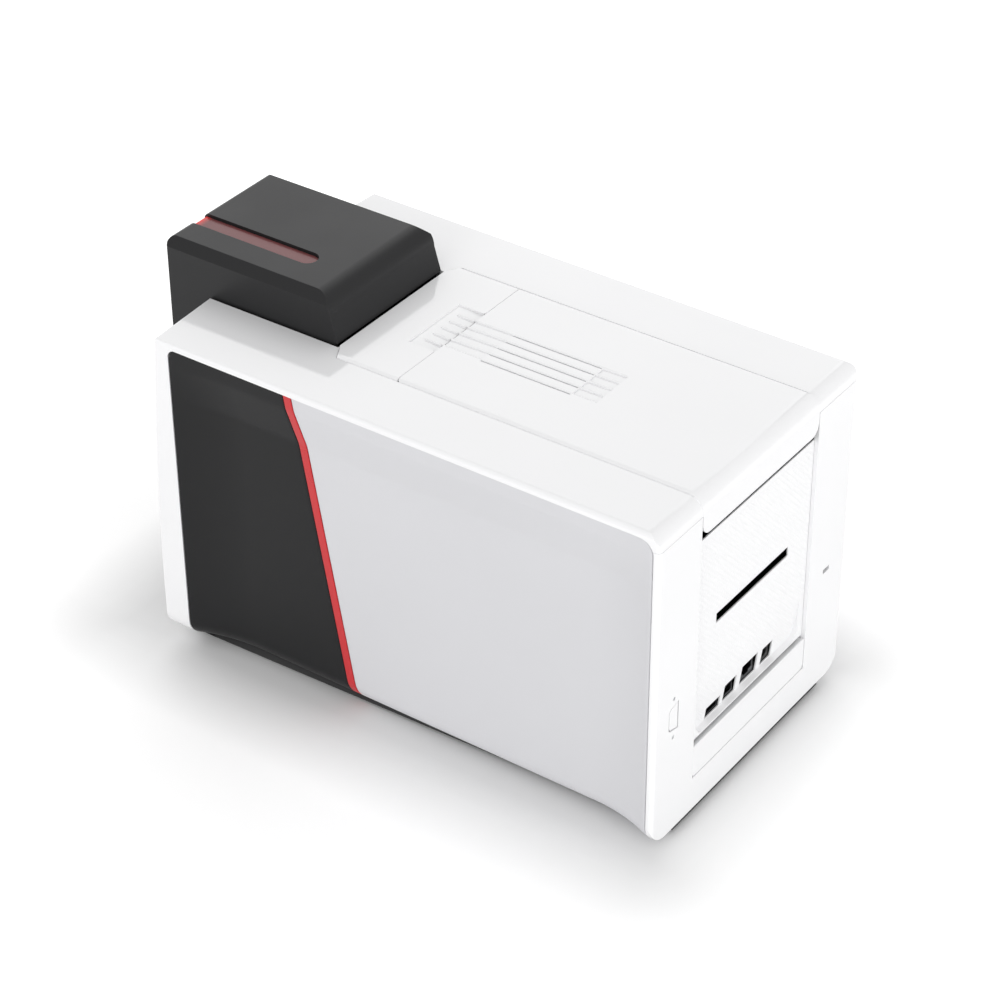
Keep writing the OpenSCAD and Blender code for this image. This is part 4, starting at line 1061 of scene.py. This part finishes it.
@dataclass(frozen=True)
class CutRow:
    """A row of equal cuts in a top face, side by side along X. Sizes are in mm."""

    count: int
    pitch: float
    first_x: float
    width: float
    start_y: float
    end_y: float
    depth_start: float
    depth_end: float
    top_z: float = 218.2

    def tree(self) -> bpy.types.NodeTree:
        """Build the tree that lays out the row and takes it off a mesh.

        Returns:
            The geometry tree, with the fields of this class as inputs.
        """
        sizes = [f.name for f in fields(self)]
        tree, given = new_tree("cut_row", sizes)
        terms: dict[Term, bpy.types.NodeSocket] = {size: given[size] for size in sizes}
        work_out(tree, (("length", "SUBTRACT", "end_y", "start_y"),), terms)
        size = add_node(tree, "ShaderNodeCombineXYZ", {0: given["width"], 1: terms["length"], 2: 2.0})
        cube = add_node(tree, "GeometryNodeMeshCube", {"Size": size.outputs[0]})
        row = in_a_row(tree, cube.outputs["Mesh"], given)
        real = add_node(tree, "GeometryNodeRealizeInstances", {"Geometry": row})
        terms.update(zip(("x", "cube_y", "cube_z"), own_place(tree)))
        work_out(tree, CUT_LAW, terms)
        cuts = placed(tree, real.outputs[0], (terms["x"], terms["y"], terms["z"]))
        taken = add_node(tree, "GeometryNodeMeshBoolean", {
            "Mesh 1": given["Geometry"], "Mesh 2": cuts, "Hole Tolerant": True},
                         operation="DIFFERENCE", solver="EXACT")
        end_tree(tree, taken.outputs[0], given["Material"])
        return tree

    def taken_off(self, mesh: bpy.types.Mesh, finish: Finish) -> bpy.types.Mesh:
        """Cut the row into a mesh.

        Args:
            mesh: The mesh.
            finish: What it is made of.

        Returns:
            The cut mesh.
        """
        values = {f.name: float(getattr(self, f.name)) for f in fields(self)}
        piece = grown("cut", mesh, self.tree(), values | {"Material": finish.material()})
        result = joined(piece.data)
        bpy.data.objects.remove(piece)
        log.info("cut %d by %.1f mm from Y %.1f mm: %d faces", self.count, self.width, self.start_y,
                 len(result.polygons))
        return result


@dataclass(frozen=True)
class RibRow:
    """Round-topped ribs side by side along X. Sizes are in mm."""

    name: str
    node: str
    count: int
    pitch: float
    first_x: float
    width: float
    start_y: float
    end_y: float
    foot_z: float
    top_z: float
    facet: int = 20

    def bar(self) -> bpy.types.Mesh:
        """Make one rib around X = 0: an upright bar with a half-round top.

        Returns:
            The new mesh.
        """
        r = self.width / 2
        turns = [math.radians(a) for a in range(0, 181, self.facet)]
        outline = [(r * math.cos(a), self.top_z - r + r * math.sin(a)) for a in turns]
        outline = [(r, self.foot_z), *outline, (-r, self.foot_z)]
        verts = [(x * MM, y * MM, z * MM) for y in (self.end_y, self.start_y) for x, z in outline]
        n = len(outline)
        sides = [(k, (k + 1) % n, n + (k + 1) % n, n + k) for k in range(n)]
        mesh = bpy.data.meshes.new("rib")
        mesh.from_pydata(verts, [], [tuple(reversed(range(n))), tuple(range(n, 2 * n)), *sides])
        return mesh

    def tree(self) -> bpy.types.NodeTree:
        """Build the tree that repeats a rib at the pitch of the row.

        Returns:
            The geometry tree, with inputs for count, pitch and first place.
        """
        tree, given = new_tree("rib_row", ("count", "pitch", "first_x"))
        end_tree(tree, in_a_row(tree, given["Geometry"], given), given["Material"])
        return tree

    def build(self, finish: Finish) -> bpy.types.Object:
        """Build the ribs on the node that carries them.

        Args:
            finish: What they are made of.

        Returns:
            The piece.
        """
        piece = grown(self.name, self.bar(), self.tree(), {
            "count": float(self.count), "pitch": self.pitch * MM, "first_x": self.first_x * MM,
            "Material": finish.material()})
        smooth_by_angle(piece.data, degrees=40)
        return mounted(piece, self.node, finish, stands=False)


@dataclass(frozen=True)
class SoftEdge:
    """The rolled long edges of lid and strip: a wide low round that catches the side light."""

    half_w: float = 60.0
    radius: float = 2.2
    width: float = 3.6
    top_z: float = 218.2
    closer: float = 0.27
    slack: float = 0.05

    def __call__(self, x: float, y: float, z: float) -> Point:
        """Widen the round along the edge, and bring the side face closer to its neighbour.

        Args:
            x: Place of a point along X, in mm.
            y: Its place along Y.
            z: Its height.

        Returns:
            The new place of the point, in mm.
        """
        inward = self.half_w - abs(x)
        if inward < self.radius + self.slack and z > self.top_z - self.radius - self.slack:
            inward *= self.width / self.radius
        outward = self.closer if inward < ON_FACE else 0.0
        return math.copysign(self.half_w - inward + outward, x), y, z


@dataclass
class VentedTop:
    """The vents: a shallow scoop in the fixed strip, and ribs, bays and slits in the lid.

    Sizes are in mm. A pair is where something starts and ends along Y, or its depth there.
    """

    count: int = 5
    pitch: float = 7.9
    first_x: float = -15.2
    top_z: float = 218.2
    seam_y: float = -10.0
    seam_w: float = 1.2
    seam_d: float = 6.0
    seam_lap: float = 1.4
    past_seam: float = 1.0
    rib_w: float = 1.3
    rib_side: float = 0.1
    rib_rise: float = 0.25
    rib_root: float = 2.2
    ribs_start: float = 0.25
    front_bay_end: float = 16.0
    front_bay_d: tuple[float, float] = (0.8, 0.45)
    rear_bay_y: tuple[float, float] = (77.5, 93.5)
    rear_bay_d: tuple[float, float] = (0.8, 0.5)
    slit_w: float = 1.0
    slit_x: float = 1.35
    slit_y: tuple[float, float] = (16.5, 77.0)
    slit_d: float = 4.0
    scoop_x: float = 24.3
    scoop_y: float = -28.6
    scoop_d: tuple[float, float] = (0.9, 1.7)
    scoop_rib_y: tuple[float, float] = (5.4, 1.3)
    scoop_rib_down: float = 0.35
    scoop_rib_root: float = 3.0
    lid_plug: Point = (22.0, 98.0, 2.0)
    strip_plug: Point = (26.0, 0.3, 4.4)
    plug_margin: float = 2.0
    soft: SoftEdge = field(default_factory=SoftEdge)

    def bays(self, start_y: float, end_y: float, depth: tuple[float, float]) -> CutRow:
        """Set out the bays between the ribs, over a length of the lid."""
        return CutRow(self.count - 1, self.pitch, self.first_x + self.pitch / 2,
                      self.pitch - self.rib_w - 2 * self.rib_side, start_y, end_y, *depth)

    def vented(self, node: str, low: Point, high: Point, rows: Sequence[CutRow]) -> bpy.types.Object:
        """Build a node whose recesses are filled and set out again.

        Args:
            node: The node.
            low: Lowest corner of the box that fills them.
            high: Its highest corner.
            rows: The cuts that take their place.

        Returns:
            The piece.
        """
        mesh = filled(reshaped(merged(node), self.soft), low, high)
        for row in rows:
            mesh = row.taken_off(mesh, WHITE_GLOSS)
        return carried(node, WHITE_GLOSS, edge_mm=0.0, mesh=mesh)

    def lid(self) -> bpy.types.Object:
        """Build the lid, with its vents set out as bays and slits.

        Returns:
            The piece.
        """
        half_x, end_y, deep = self.lid_plug
        low = (-half_x, self.seam_y + self.plug_margin, self.top_z - deep)
        slits = CutRow(self.count, self.pitch, self.first_x + self.slit_x, self.slit_w, *self.slit_y,
                       self.slit_d, self.slit_d)
        return self.vented("top_lid", low, (half_x, end_y, self.top_z), (
            self.bays(self.seam_y - self.past_seam, self.front_bay_end, self.front_bay_d),
            self.bays(*self.rear_bay_y, self.rear_bay_d), slits))

    def strip(self) -> bpy.types.Object:
        """Build the fixed strip, with a shallower scoop and a gap at the lid.

        Returns:
            The piece.
        """
        half_x, short, deep = self.strip_plug
        low = (-half_x, self.scoop_y - self.plug_margin, self.top_z - deep)
        width, end_y = 2 * self.scoop_x, self.seam_y + self.past_seam
        return self.vented("front_strip", low, (half_x, self.seam_y - short, self.top_z), (
            CutRow(1, 1.0, 0.0, width, self.scoop_y, end_y, *self.scoop_d),
            CutRow(1, 1.0, 0.0, width + self.seam_lap, self.seam_y - self.seam_w, end_y,
                   self.seam_d, self.seam_d)))

    def ribs(self, node: str, width: float, start_y: float, end_y: float, root: float,
             rise: float) -> bpy.types.Object:
        """Build the ribs of one node, on the pitch that both share.

        Args:
            node: The node that carries them.
            width: Width of a rib.
            start_y: Where they start.
            end_y: Where they end.
            root: How far below the top face they start.
            rise: How far above it they end.

        Returns:
            The piece.
        """
        row = RibRow(node + "_ribs", node, self.count, self.pitch, self.first_x, width, start_y, end_y,
                     self.top_z - root, self.top_z + rise)
        return row.build(WHITE_GLOSS)

    def build(self) -> list[bpy.types.Object]:
        """Build strip, lid and the ribs on both.

        Returns:
            The pieces.
        """
        ahead, short = self.scoop_rib_y
        return [
            self.strip(),
            self.lid(),
            self.ribs("front_strip", self.rib_w - self.rib_side, self.scoop_y + ahead,
                      self.seam_y - short, self.scoop_rib_root, -self.scoop_rib_down),
            self.ribs("top_lid", self.rib_w, self.seam_y + self.ribs_start, self.rear_bay_y[1],
                      self.rib_root, self.rib_rise),
        ]


@dataclass(frozen=True)
class CrispRim:
    """The rim of the deck: along the panels and the wing fronts its round is drawn in to a small one."""

    half_w: float = 102.5
    top_z: float = 217.0
    old_r: float = 4.0
    new_r: float = 1.2
    crisp_to_y: float = 60.0
    foot_y: float = -158.9
    front_y: float = -149.99
    sweep: float = 3.3
    slack: float = 0.08

    def drawn(self, along: float) -> float:
        """Give the new distance from the centre of the old round along one axis."""
        return self.old_r - self.new_r + along * self.new_r / self.old_r

    def __call__(self, x: float, y: float, z: float) -> Point:
        """Draw in the points of the old round.

        Args:
            x: Place of a point along X, in mm.
            y: Its place along Y.
            z: Its height.

        Returns:
            The new place of the point, in mm.
        """
        centre_z = self.top_z - self.old_r
        up = z - centre_z
        if up < -ON_FACE:
            return x, y, z
        side = abs(x) - (self.half_w - self.old_r)
        new_x, new_y, new_z = x, y, z
        in_round = abs(math.hypot(side, up) - self.old_r) < self.slack
        if side > -ON_FACE and in_round and y < self.crisp_to_y:
            new_x = math.copysign(self.half_w - self.old_r + self.drawn(side), x)
            new_z = centre_z + self.drawn(up)
        # the wing front is swept back about the corner of the side
        turn = math.radians(self.sweep) * math.copysign(1, x)
        off_x, off_y = x - math.copysign(self.half_w, x), y - self.foot_y
        across = off_x * math.cos(turn) + off_y * math.sin(turn)
        along = off_y * math.cos(turn) - off_x * math.sin(turn)
        ahead = self.front_y + self.old_r - (along + self.foot_y)
        if ahead > -ON_FACE and abs(math.hypot(ahead, up) - self.old_r) < self.slack:
            moved = self.front_y + self.old_r - self.drawn(ahead) - self.foot_y - along
            new_x -= moved * math.sin(turn)
            new_y += moved * math.cos(turn)
            new_z = centre_z + self.drawn(up)
        return new_x, new_y, new_z


@dataclass
class WhiteCasing:
    """The white shell: deck with both wings, rear frame, covers, base and feet. Sizes are in mm."""

    deck_z: float = 217.0
    deck_edge: float = 0.35
    rim_round: float = 1.1
    frame_edge: float = 1.6
    cover_share: tuple[float, float] = (0.9, 0.95)
    cover_sunk: float = 0.1
    plate_z: float = 5.0
    rear_from: float = 180.0
    # painted contact shadow: the black base is brought down and out to show as a dark band along the foot
    base_low: Point = (88.0, 6.0, 1.0)
    base_rear: Point = (80.0, 190.3, 3.0)

    def cover(self) -> bpy.types.Mesh:
        """Shrink the small cover a little, so that its seam shows as a line.

        Returns:
            The cover's mesh.
        """
        low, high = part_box("serial_cover")
        mid_x, mid_z = (low[0] + high[0]) / 2 / MM, (low[2] + high[2]) / 2 / MM
        wide, tall = self.cover_share
        return reshaped(merged("serial_cover"), lambda x, y, z: (
            mid_x + (x - mid_x) * wide, y - self.cover_sunk, mid_z + (z - mid_z) * tall))

    def base(self, x: float, y: float, z: float) -> Point:
        """Bring the lower face of the black base down and out: the thin dark line it shows below the casing
        is a dark sheet put in as painted contact shadow, and the lowered plate also keeps light from under
        the casing.

        Everything in that face goes to one width, the tongue under the tray bay included.

        Args:
            x: Place of a point along X, in mm.
            y: Its place along Y.
            z: Its height.

        Returns:
            The new place of the point, in mm.
        """
        if z > self.plate_z + ON_FACE:
            return x, y, z
        if y > self.rear_from:
            half_x, rear_y, low_z = self.base_rear
            return math.copysign(half_x, x), rear_y, low_z
        half_x, back, low_z = self.base_low
        return math.copysign(half_x, x), y + back, low_z

    def build(self) -> list[bpy.types.Object]:
        """Build the white pieces of the casing, and the base with its feet.

        Returns:
            The pieces.
        """
        deck = rounded_rim(reshaped(merged("deck_shell"), CrispRim()), self.deck_z, self.rim_round)
        return [
            carried("deck_shell", WHITE_GLOSS, edge_mm=self.deck_edge, segments=3, mesh=deck),
            carried("rear_frame", WHITE_GLOSS, edge_mm=self.frame_edge, segments=3),
            carried("serial_cover", WHITE_GLOSS, edge_mm=0.25, mesh=self.cover()),
            carried("serial_screws", ZINC_STEEL, edge_mm=0.2),
            carried("base_tray", BLACK_DULL, edge_mm=0.2, mesh=reshaped(merged("base_tray"), self.base)),
            carried("rubber_feet", RUBBER, edge_mm=0.6),
        ]


@dataclass
class StudField:
    """Fine raised studs over the rear wall, on the nodes of a slanted net. Sizes are in mm."""

    pitch: float = 4.0
    stud_r: float = 1.05
    stud_h: float = 0.42
    margin: float = 2.4
    half_w: float = 60.5
    face_y: float = 188.0
    top_z: float = 185.5
    pocket_top: float = 81.0
    pocket_z: float = 53.5
    pocket_d: float = 3.5
    pocket_x: float = 55.0
    slot_w: float = 76.0
    slot_h: float = 6.4
    slot_z: float = 124.7
    ports_x: tuple[float, float] = (-31.5, 42.0)
    ports_h: float = 16.5
    first_row: float = 3.0

    def clear(self, x: float, z: float) -> bool:
        """Tell whether a stud may stand at a place of the wall.

        Args:
            x: The place along X, in mm.
            z: Its height.

        Returns:
            True where the wall is free.
        """
        beside_slot, over_slot = self.slot_w / 2 + self.margin, self.slot_h / 2 + self.margin
        in_slot = abs(x) < beside_slot and abs(z - self.slot_z) < over_slot
        in_port = self.ports_x[0] < x < self.ports_x[1] and z < self.pocket_z + self.ports_h
        beside = z < self.pocket_top and abs(x) > self.pocket_x - self.first_row
        return not (in_slot or in_port or beside) and abs(x) < self.half_w - self.margin

    def spots(self) -> list[Point]:
        """List the places of the studs on the flat and on the tilted wall.

        Returns:
            The places, in metres.
        """
        found = []
        row = 0
        z = self.pocket_z + self.first_row
        while z < self.top_z - self.margin:
            shift = 0.5 * self.pitch * (row % 2)
            count = int(self.half_w / self.pitch) + 1
            for k in range(-count, count + 1):
                x = k * self.pitch + shift
                if self.clear(x, z):
                    share = max(0.0, (self.pocket_top - z) / (self.pocket_top - self.pocket_z))
                    found.append((x * MM, (self.face_y - share * self.pocket_d) * MM, z * MM))
            z += self.pitch / 2
            row += 1
        return found

    def tree(self) -> bpy.types.NodeTree:
        """Build the tree that sets a stud on each point.

        Returns:
            The geometry tree, with inputs for radius, height and material.
        """
        tree, given = new_tree("stud_field", ("Radius", "Height"))
        points = add_node(tree, "GeometryNodeMeshToPoints", {"Mesh": given["Geometry"]})
        stud = add_node(tree, "GeometryNodeMeshCone", {
            "Vertices": 8, "Radius Top": 0.0, "Radius Bottom": given["Radius"],
            "Depth": given["Height"]})
        set_out = add_node(tree, "GeometryNodeInstanceOnPoints", {
            "Points": points.outputs[0], "Instance": stud.outputs["Mesh"],
            "Rotation": (math.radians(-90), 0.0, 0.0)})
        end_tree(tree, set_out.outputs[0], given["Material"])
        return tree

    def build(self) -> bpy.types.Object:
        """Build all the studs as one piece on the rear panel.

        Returns:
            The piece.
        """
        mesh = bpy.data.meshes.new("stud_points")
        mesh.from_pydata(self.spots(), [], [])
        piece = grown("rear_panel_studs", mesh, self.tree(), {
            "Radius": self.stud_r * MM, "Height": self.stud_h * MM, "Material": WHITE_FINE.material()})
        return mounted(piece, "rear_panel", WHITE_FINE, stands=False)


@dataclass
class RearWall:
    """The rear inset: textured panel with slot and socket pocket, and the sockets. Sizes are in mm."""

    studs: StudField = field(default_factory=StudField)
    face_y: float = 188.0
    thin_y: float = 187.2
    wall_min: float = 2.0
    cover_y: float = 190.2
    cover_slope: float = 0.7
    cover_slope_h: float = 5.0
    top_z: float = 185.5
    rise: float = 2.2
    lip_z: float = 53.2
    lip_h: float = 2.8
    lip_stretch: float = 1.55
    pocket_top: float = 81.0
    pocket_share: float = 0.5
    slack: float = 0.2
    near_face: float = 0.1

    def wall(self, x: float, y: float, z: float) -> Point:
        """Thin the wall round the slot, raise its top and let the pocket slope down to its mouth.

        Args:
            x: Place of a point along X, in mm.
            y: Its place along Y.
            z: Its height.

        Returns:
            The new place of the point, in mm.
        """
        if z > self.pocket_top + self.slack:
            wall_y = self.thin_y if y < self.face_y - self.wall_min else y
            return x, wall_y, z + (self.rise if z > self.top_z - self.slack else 0.0)
        lip_top = self.lip_z + self.lip_h
        if y > self.face_y - self.near_face and self.lip_z < z < lip_top:
            z = lip_top - (lip_top - z) * self.lip_stretch
        return x, self.face_y - (self.face_y - y) * self.pocket_share, z

    def cover(self, x: float, y: float, z: float) -> Point:
        """Bring the face of the lower cover level with the frame, and slope its upper edge inwards.

        Args:
            x: Place of a point along X, in mm.
            y: Its place along Y.
            z: Its height.

        Returns:
            The new place of the point, in mm.
        """
        if y > self.face_y - self.near_face:
            return x, self.cover_y, z
        return x, y, z - (self.cover_slope if z > self.lip_z - self.cover_slope_h else 0.0)

    def build(self) -> list[bpy.types.Object]:
        """Build the rear wall and what sits in it.

        Returns:
            The pieces.
        """
        lower = reshaped(merged("lower_rear_panel"), self.cover)
        return [
            carried("rear_panel", WHITE_FINE, edge_mm=0.25, mesh=reshaped(merged("rear_panel"), self.wall)),
            carried("lower_rear_panel", WHITE_FINE, edge_mm=0.5, mesh=lower),
            self.studs.build(),
            # the socket shells are drawn darker than their plating as painted shade
            carried("usb_host_socket", NICKEL_WITH_PAINTED_SHADE, edge_mm=0.1),
            carried("usb_device_socket", NICKEL_WITH_PAINTED_SHADE, edge_mm=0.1),
            carried("network_socket", NICKEL_WITH_PAINTED_SHADE, edge_mm=0.15),
            carried("power_socket", BLACK_EPOXY, edge_mm=0.2),
        ]


@dataclass(frozen=True)
class Kept:
    """Nodes that keep their shape: they share a finish and the radius on their edges, in mm."""

    finish: Finish
    edge_mm: float
    nodes: tuple[str, ...]
    segments: int = 2

    def build(self) -> list[bpy.types.Object]:
        """Build the pieces of the nodes.

        Returns:
            The pieces.
        """
        return [carried(node, self.finish, self.edge_mm, self.segments) for node in self.nodes]


# What the hinged lid carries: inner frame, print head and heat sink
LID_INSIDE = (
    Kept(BLACK_DULL, 0.5, ("lid_frame",)),
    Kept(ZINC_STEEL, 0.3, ("print_head",)),
    Kept(ALUMINIUM, 0.15, ("head_heatsink",)),
    Kept(GROUND_STEEL, 0.2, ("lid_hinge_pins",)),
)
# The black feeder: hinged cover with light strip, base, magazine and press plate
FEEDER = (
    Kept(BLACK_FEEDER, 0.9, ("feeder_cover",), segments=3),
    Kept(RED_ACRYLIC, 0.2, ("feeder_strip",)),
    Kept(BLACK_FEEDER, 0.6, ("feeder_base",)),
    Kept(BLACK_DULL, 0.4, ("card_magazine",)),
    Kept(GREY_ACETAL, 0.4, ("press_plate",)),
    Kept(GROUND_STEEL, 0.2, ("feeder_hinge_pin",)),
)
# The bay under the feeder: its lining and the sliding tray
OUTPUT = (
    Kept(BLACK_DULL, 0.4, ("hopper_frame",)),
    Kept(BLACK_FEEDER, 0.6, ("output_tray",)),
)
# Chassis, shafts with what is turned or drawn like them, tyres, spindles, card path and drive
MECHANISM = (
    Kept(ZINC_STEEL, 0.3, ("left_chassis", "right_chassis")),
    Kept(GROUND_STEEL, 0.3, ("pick_shaft", "feed_shaft", "platen_shaft", "exit_shaft", "motor_pulley",
                             "cross_bars", "board_posts")),
    Kept(RUBBER, 0.4, ("pick_tyre", "feed_tyre", "platen_tyre", "exit_tyre")),
    Kept(WHITE_ACETAL, 0.4, ("takeup_hub", "supply_hub", "spool_pegs")),
    Kept(BLACK_DULL, 0.3, ("card_guide",)),
    Kept(SOLDER_MASK, 0.15, ("main_board",)),
    Kept(BLACK_EPOXY, 0.5, ("drive_motor",)),
    Kept(RUBBER, 0.0, ("drive_belt",)),
)
# Button, lamps and their board in the right wing
CONTROLS = (
    Kept(GREY_ACETAL, 0.7, ("control_button",), segments=3),
    Kept(WHITE_ACETAL, 0.3, ("indicator_lamps",)),
    Kept(SOLDER_MASK, 0.15, ("switch_board",)),
)


# ---------- floor, light and camera ----------


@dataclass(frozen=True)
class Lamp:
    """A square soft lamp. Places and its side are in metres, its power in watts."""

    name: str
    place: Point
    aim: Point
    size: float
    power: float

    def hang(self) -> None:
        """Hang the lamp, turned to what it points at."""
        data = bpy.data.lights.new(self.name, "AREA")
        data.shape = "SQUARE"
        data.size = self.size
        data.energy = self.power
        lamp = bpy.data.objects.new(self.name, data)
        bpy.context.scene.collection.objects.link(lamp)
        lamp.location = self.place
        lamp.rotation_mode = "QUATERNION"
        lamp.rotation_quaternion = (Vector(self.aim) - Vector(self.place)).to_track_quat("-Z", "Y")


@dataclass
class Studio:
    """White table, even room light, soft lamps and the camera.

    The eye is in mm and the camera's angles in degrees. The table's sizes are in metres: it
    brightens by a lift from the foot of the casing to a near distance, and further out to white;
    the darker paper near the foot is painted shade.
    """

    eye: Point = (1144.86, 833.12, 1099.0)
    heading: float = -125.495
    tilt: float = 35.042
    roll: float = -0.348
    lens: float = 106.01
    room: float = 0.67
    table_half: tuple[float, float] = (0.1025, 0.1905)
    # painted shade: the paper's lift is held low near the foot of the casing
    table_lift: float = 0.31
    table_near: float = 0.06
    table_middle: float = 0.1
    table_far: float = 0.85
    table_size: float = 7.0
    lamps: tuple[Lamp, ...] = (
        Lamp("back_soft", (-1.35, -0.96, 1.36), aim=(0.0, 0.0, 0.2), size=1.7, power=9.9),
        Lamp("right_soft", (2.6, 0.3, 0.45), aim=(0.0, 0.0, 0.12), size=1.8, power=28.0),
        Lamp("rear_soft", (0.3, 2.7, 0.45), aim=(0.0, 0.0, 0.12), size=1.8, power=27.8),
    )

    def seen(self, tree: bpy.types.NodeTree) -> bpy.types.NodeSocket:
        """Tell rays that the eye sees, straight, mirrored or through glass, from rays of light.

        Args:
            tree: The tree that asks.

        Returns:
            A socket that is 1 for seen rays and 0 for others.
        """
        rays = add_node(tree, "ShaderNodeLightPath").outputs
        straight = add_node(tree, "ShaderNodeMath", {0: rays["Is Camera Ray"], 1: rays["Is Glossy Ray"]},
                            operation="MAXIMUM")
        every = add_node(tree, "ShaderNodeMath", {
            0: straight.outputs[0], 1: rays["Is Transmission Ray"]}, operation="MAXIMUM")
        return every.outputs[0]

    def floor(self) -> bpy.types.Object:
        """Lay the table: white where the camera sees it lit, grey in the shadow, and darker near the foot
        of the casing by painted shade.

        Returns:
            The table.
        """
        mesh = bpy.data.meshes.new("table")
        s = self.table_size
        mesh.from_pydata([(-s, -s, 0), (s, -s, 0), (s, s, 0), (-s, s, 0)], [], [(0, 1, 2, 3)])
        table = to_object("table", mesh)
        material, tree, shader = new_material("table_paper_white")
        # the paper is brightened with the distance from the foot of the casing: the smaller lift near the
        # foot is painted shade
        place = add_node(tree, "ShaderNodeTexCoord").outputs["Object"]
        folded = add_node(tree, "ShaderNodeVectorMath", {0: place}, operation="ABSOLUTE").outputs[0]
        beyond = add_node(tree, "ShaderNodeVectorMath", {0: folded, 1: (*self.table_half, 0.0)},
                          operation="SUBTRACT").outputs[0]
        outside = add_node(tree, "ShaderNodeVectorMath", {0: beyond, 1: (0.0, 0.0, 0.0)},
                           operation="MAXIMUM").outputs[0]
        distance = add_node(tree, "ShaderNodeVectorMath", {0: outside},
                            operation="LENGTH").outputs["Value"]
        # painted shade: no lift at the foot of the casing, rising over the near distance
        painted_shade_ramp = add_node(tree, "ShaderNodeMapRange", {
            "Value": distance, "From Max": self.table_near, "To Max": self.table_lift})
        far = add_node(tree, "ShaderNodeMapRange", {
            "Value": distance, "From Min": self.table_middle, "From Max": self.table_far,
            "To Max": 1.0 - self.table_lift}, interpolation_type="SMOOTHSTEP")
        white = add_node(tree, "ShaderNodeMath", {0: painted_shade_ramp.outputs[0], 1: far.outputs[0]},
                         operation="ADD")
        seen_lift_with_painted_shade = add_node(tree, "ShaderNodeMath", {0: self.seen(tree), 1: white.outputs[0]},
                        operation="MULTIPLY")
        feed(tree, shader, {
            "Base Color": linear("#F2F2F2"), "Roughness": 0.9, "Specular IOR Level": 0.1,
            "Emission Color": (1, 1, 1, 1), "Emission Strength": seen_lift_with_painted_shade.outputs[0]})
        mesh.materials.append(material)
        return table

    def world(self) -> None:
        """Light the room evenly, and show it white to the camera."""
        world = bpy.data.worlds.new("room")
        bpy.context.scene.world = world
        world.use_nodes = True
        tree = world.node_tree
        tree.nodes.clear()
        strength = add_node(tree, "ShaderNodeMapRange", {
            "Value": self.seen(tree), "To Min": self.room, "To Max": 1.0})
        light = add_node(tree, "ShaderNodeBackground", {
            "Color": (1, 1, 1, 1), "Strength": strength.outputs[0]})
        add_node(tree, "ShaderNodeOutputWorld", {"Surface": light.outputs[0]})

    def camera(self) -> None:
        """Set up the camera from its place, heading, tilt and roll."""
        data = bpy.data.cameras.new("camera")
        data.lens = self.lens
        data.sensor_width = 36.0
        data.clip_start, data.clip_end = 0.05, 50.0
        camera = bpy.data.objects.new("camera", data)
        bpy.context.scene.collection.objects.link(camera)
        heading, tilt, roll = (math.radians(a) for a in (self.heading, self.tilt, self.roll))
        look = Vector((math.sin(heading) * math.cos(tilt), math.cos(heading) * math.cos(tilt),
                       -math.sin(tilt)))
        level = look.cross(Vector((0, 0, 1))).normalized()
        above = level.cross(look)
        right = level * math.cos(roll) + above * math.sin(roll)
        up = right.cross(look)
        camera.matrix_world = Matrix((
            (right.x, up.x, -look.x, self.eye[0] * MM),
            (right.y, up.y, -look.y, self.eye[1] * MM),
            (right.z, up.z, -look.z, self.eye[2] * MM),
            (0, 0, 0, 1)))
        bpy.context.scene.camera = camera

    def build(self) -> None:
        """Set up floor, room light, lamps and camera."""
        self.floor()
        self.world()
        for lamp in self.lamps:
            lamp.hang()
        self.camera()
        bpy.context.scene.view_settings.view_transform = "Standard"


def main() -> None:
    """Build the printer and the studio."""
    Studio().build()
    builders = (WhiteCasing(), DishedSide(Side.RIGHT), DishedSide(Side.LEFT), VentedTop(), RearWall(),
                *LID_INSIDE, *FEEDER, *OUTPUT, *MECHANISM, *CONTROLS)
    pieces = [piece for builder in builders for piece in builder.build()]
    log.info("%d pieces", len(pieces))


if __name__ == "__main__":
    main()
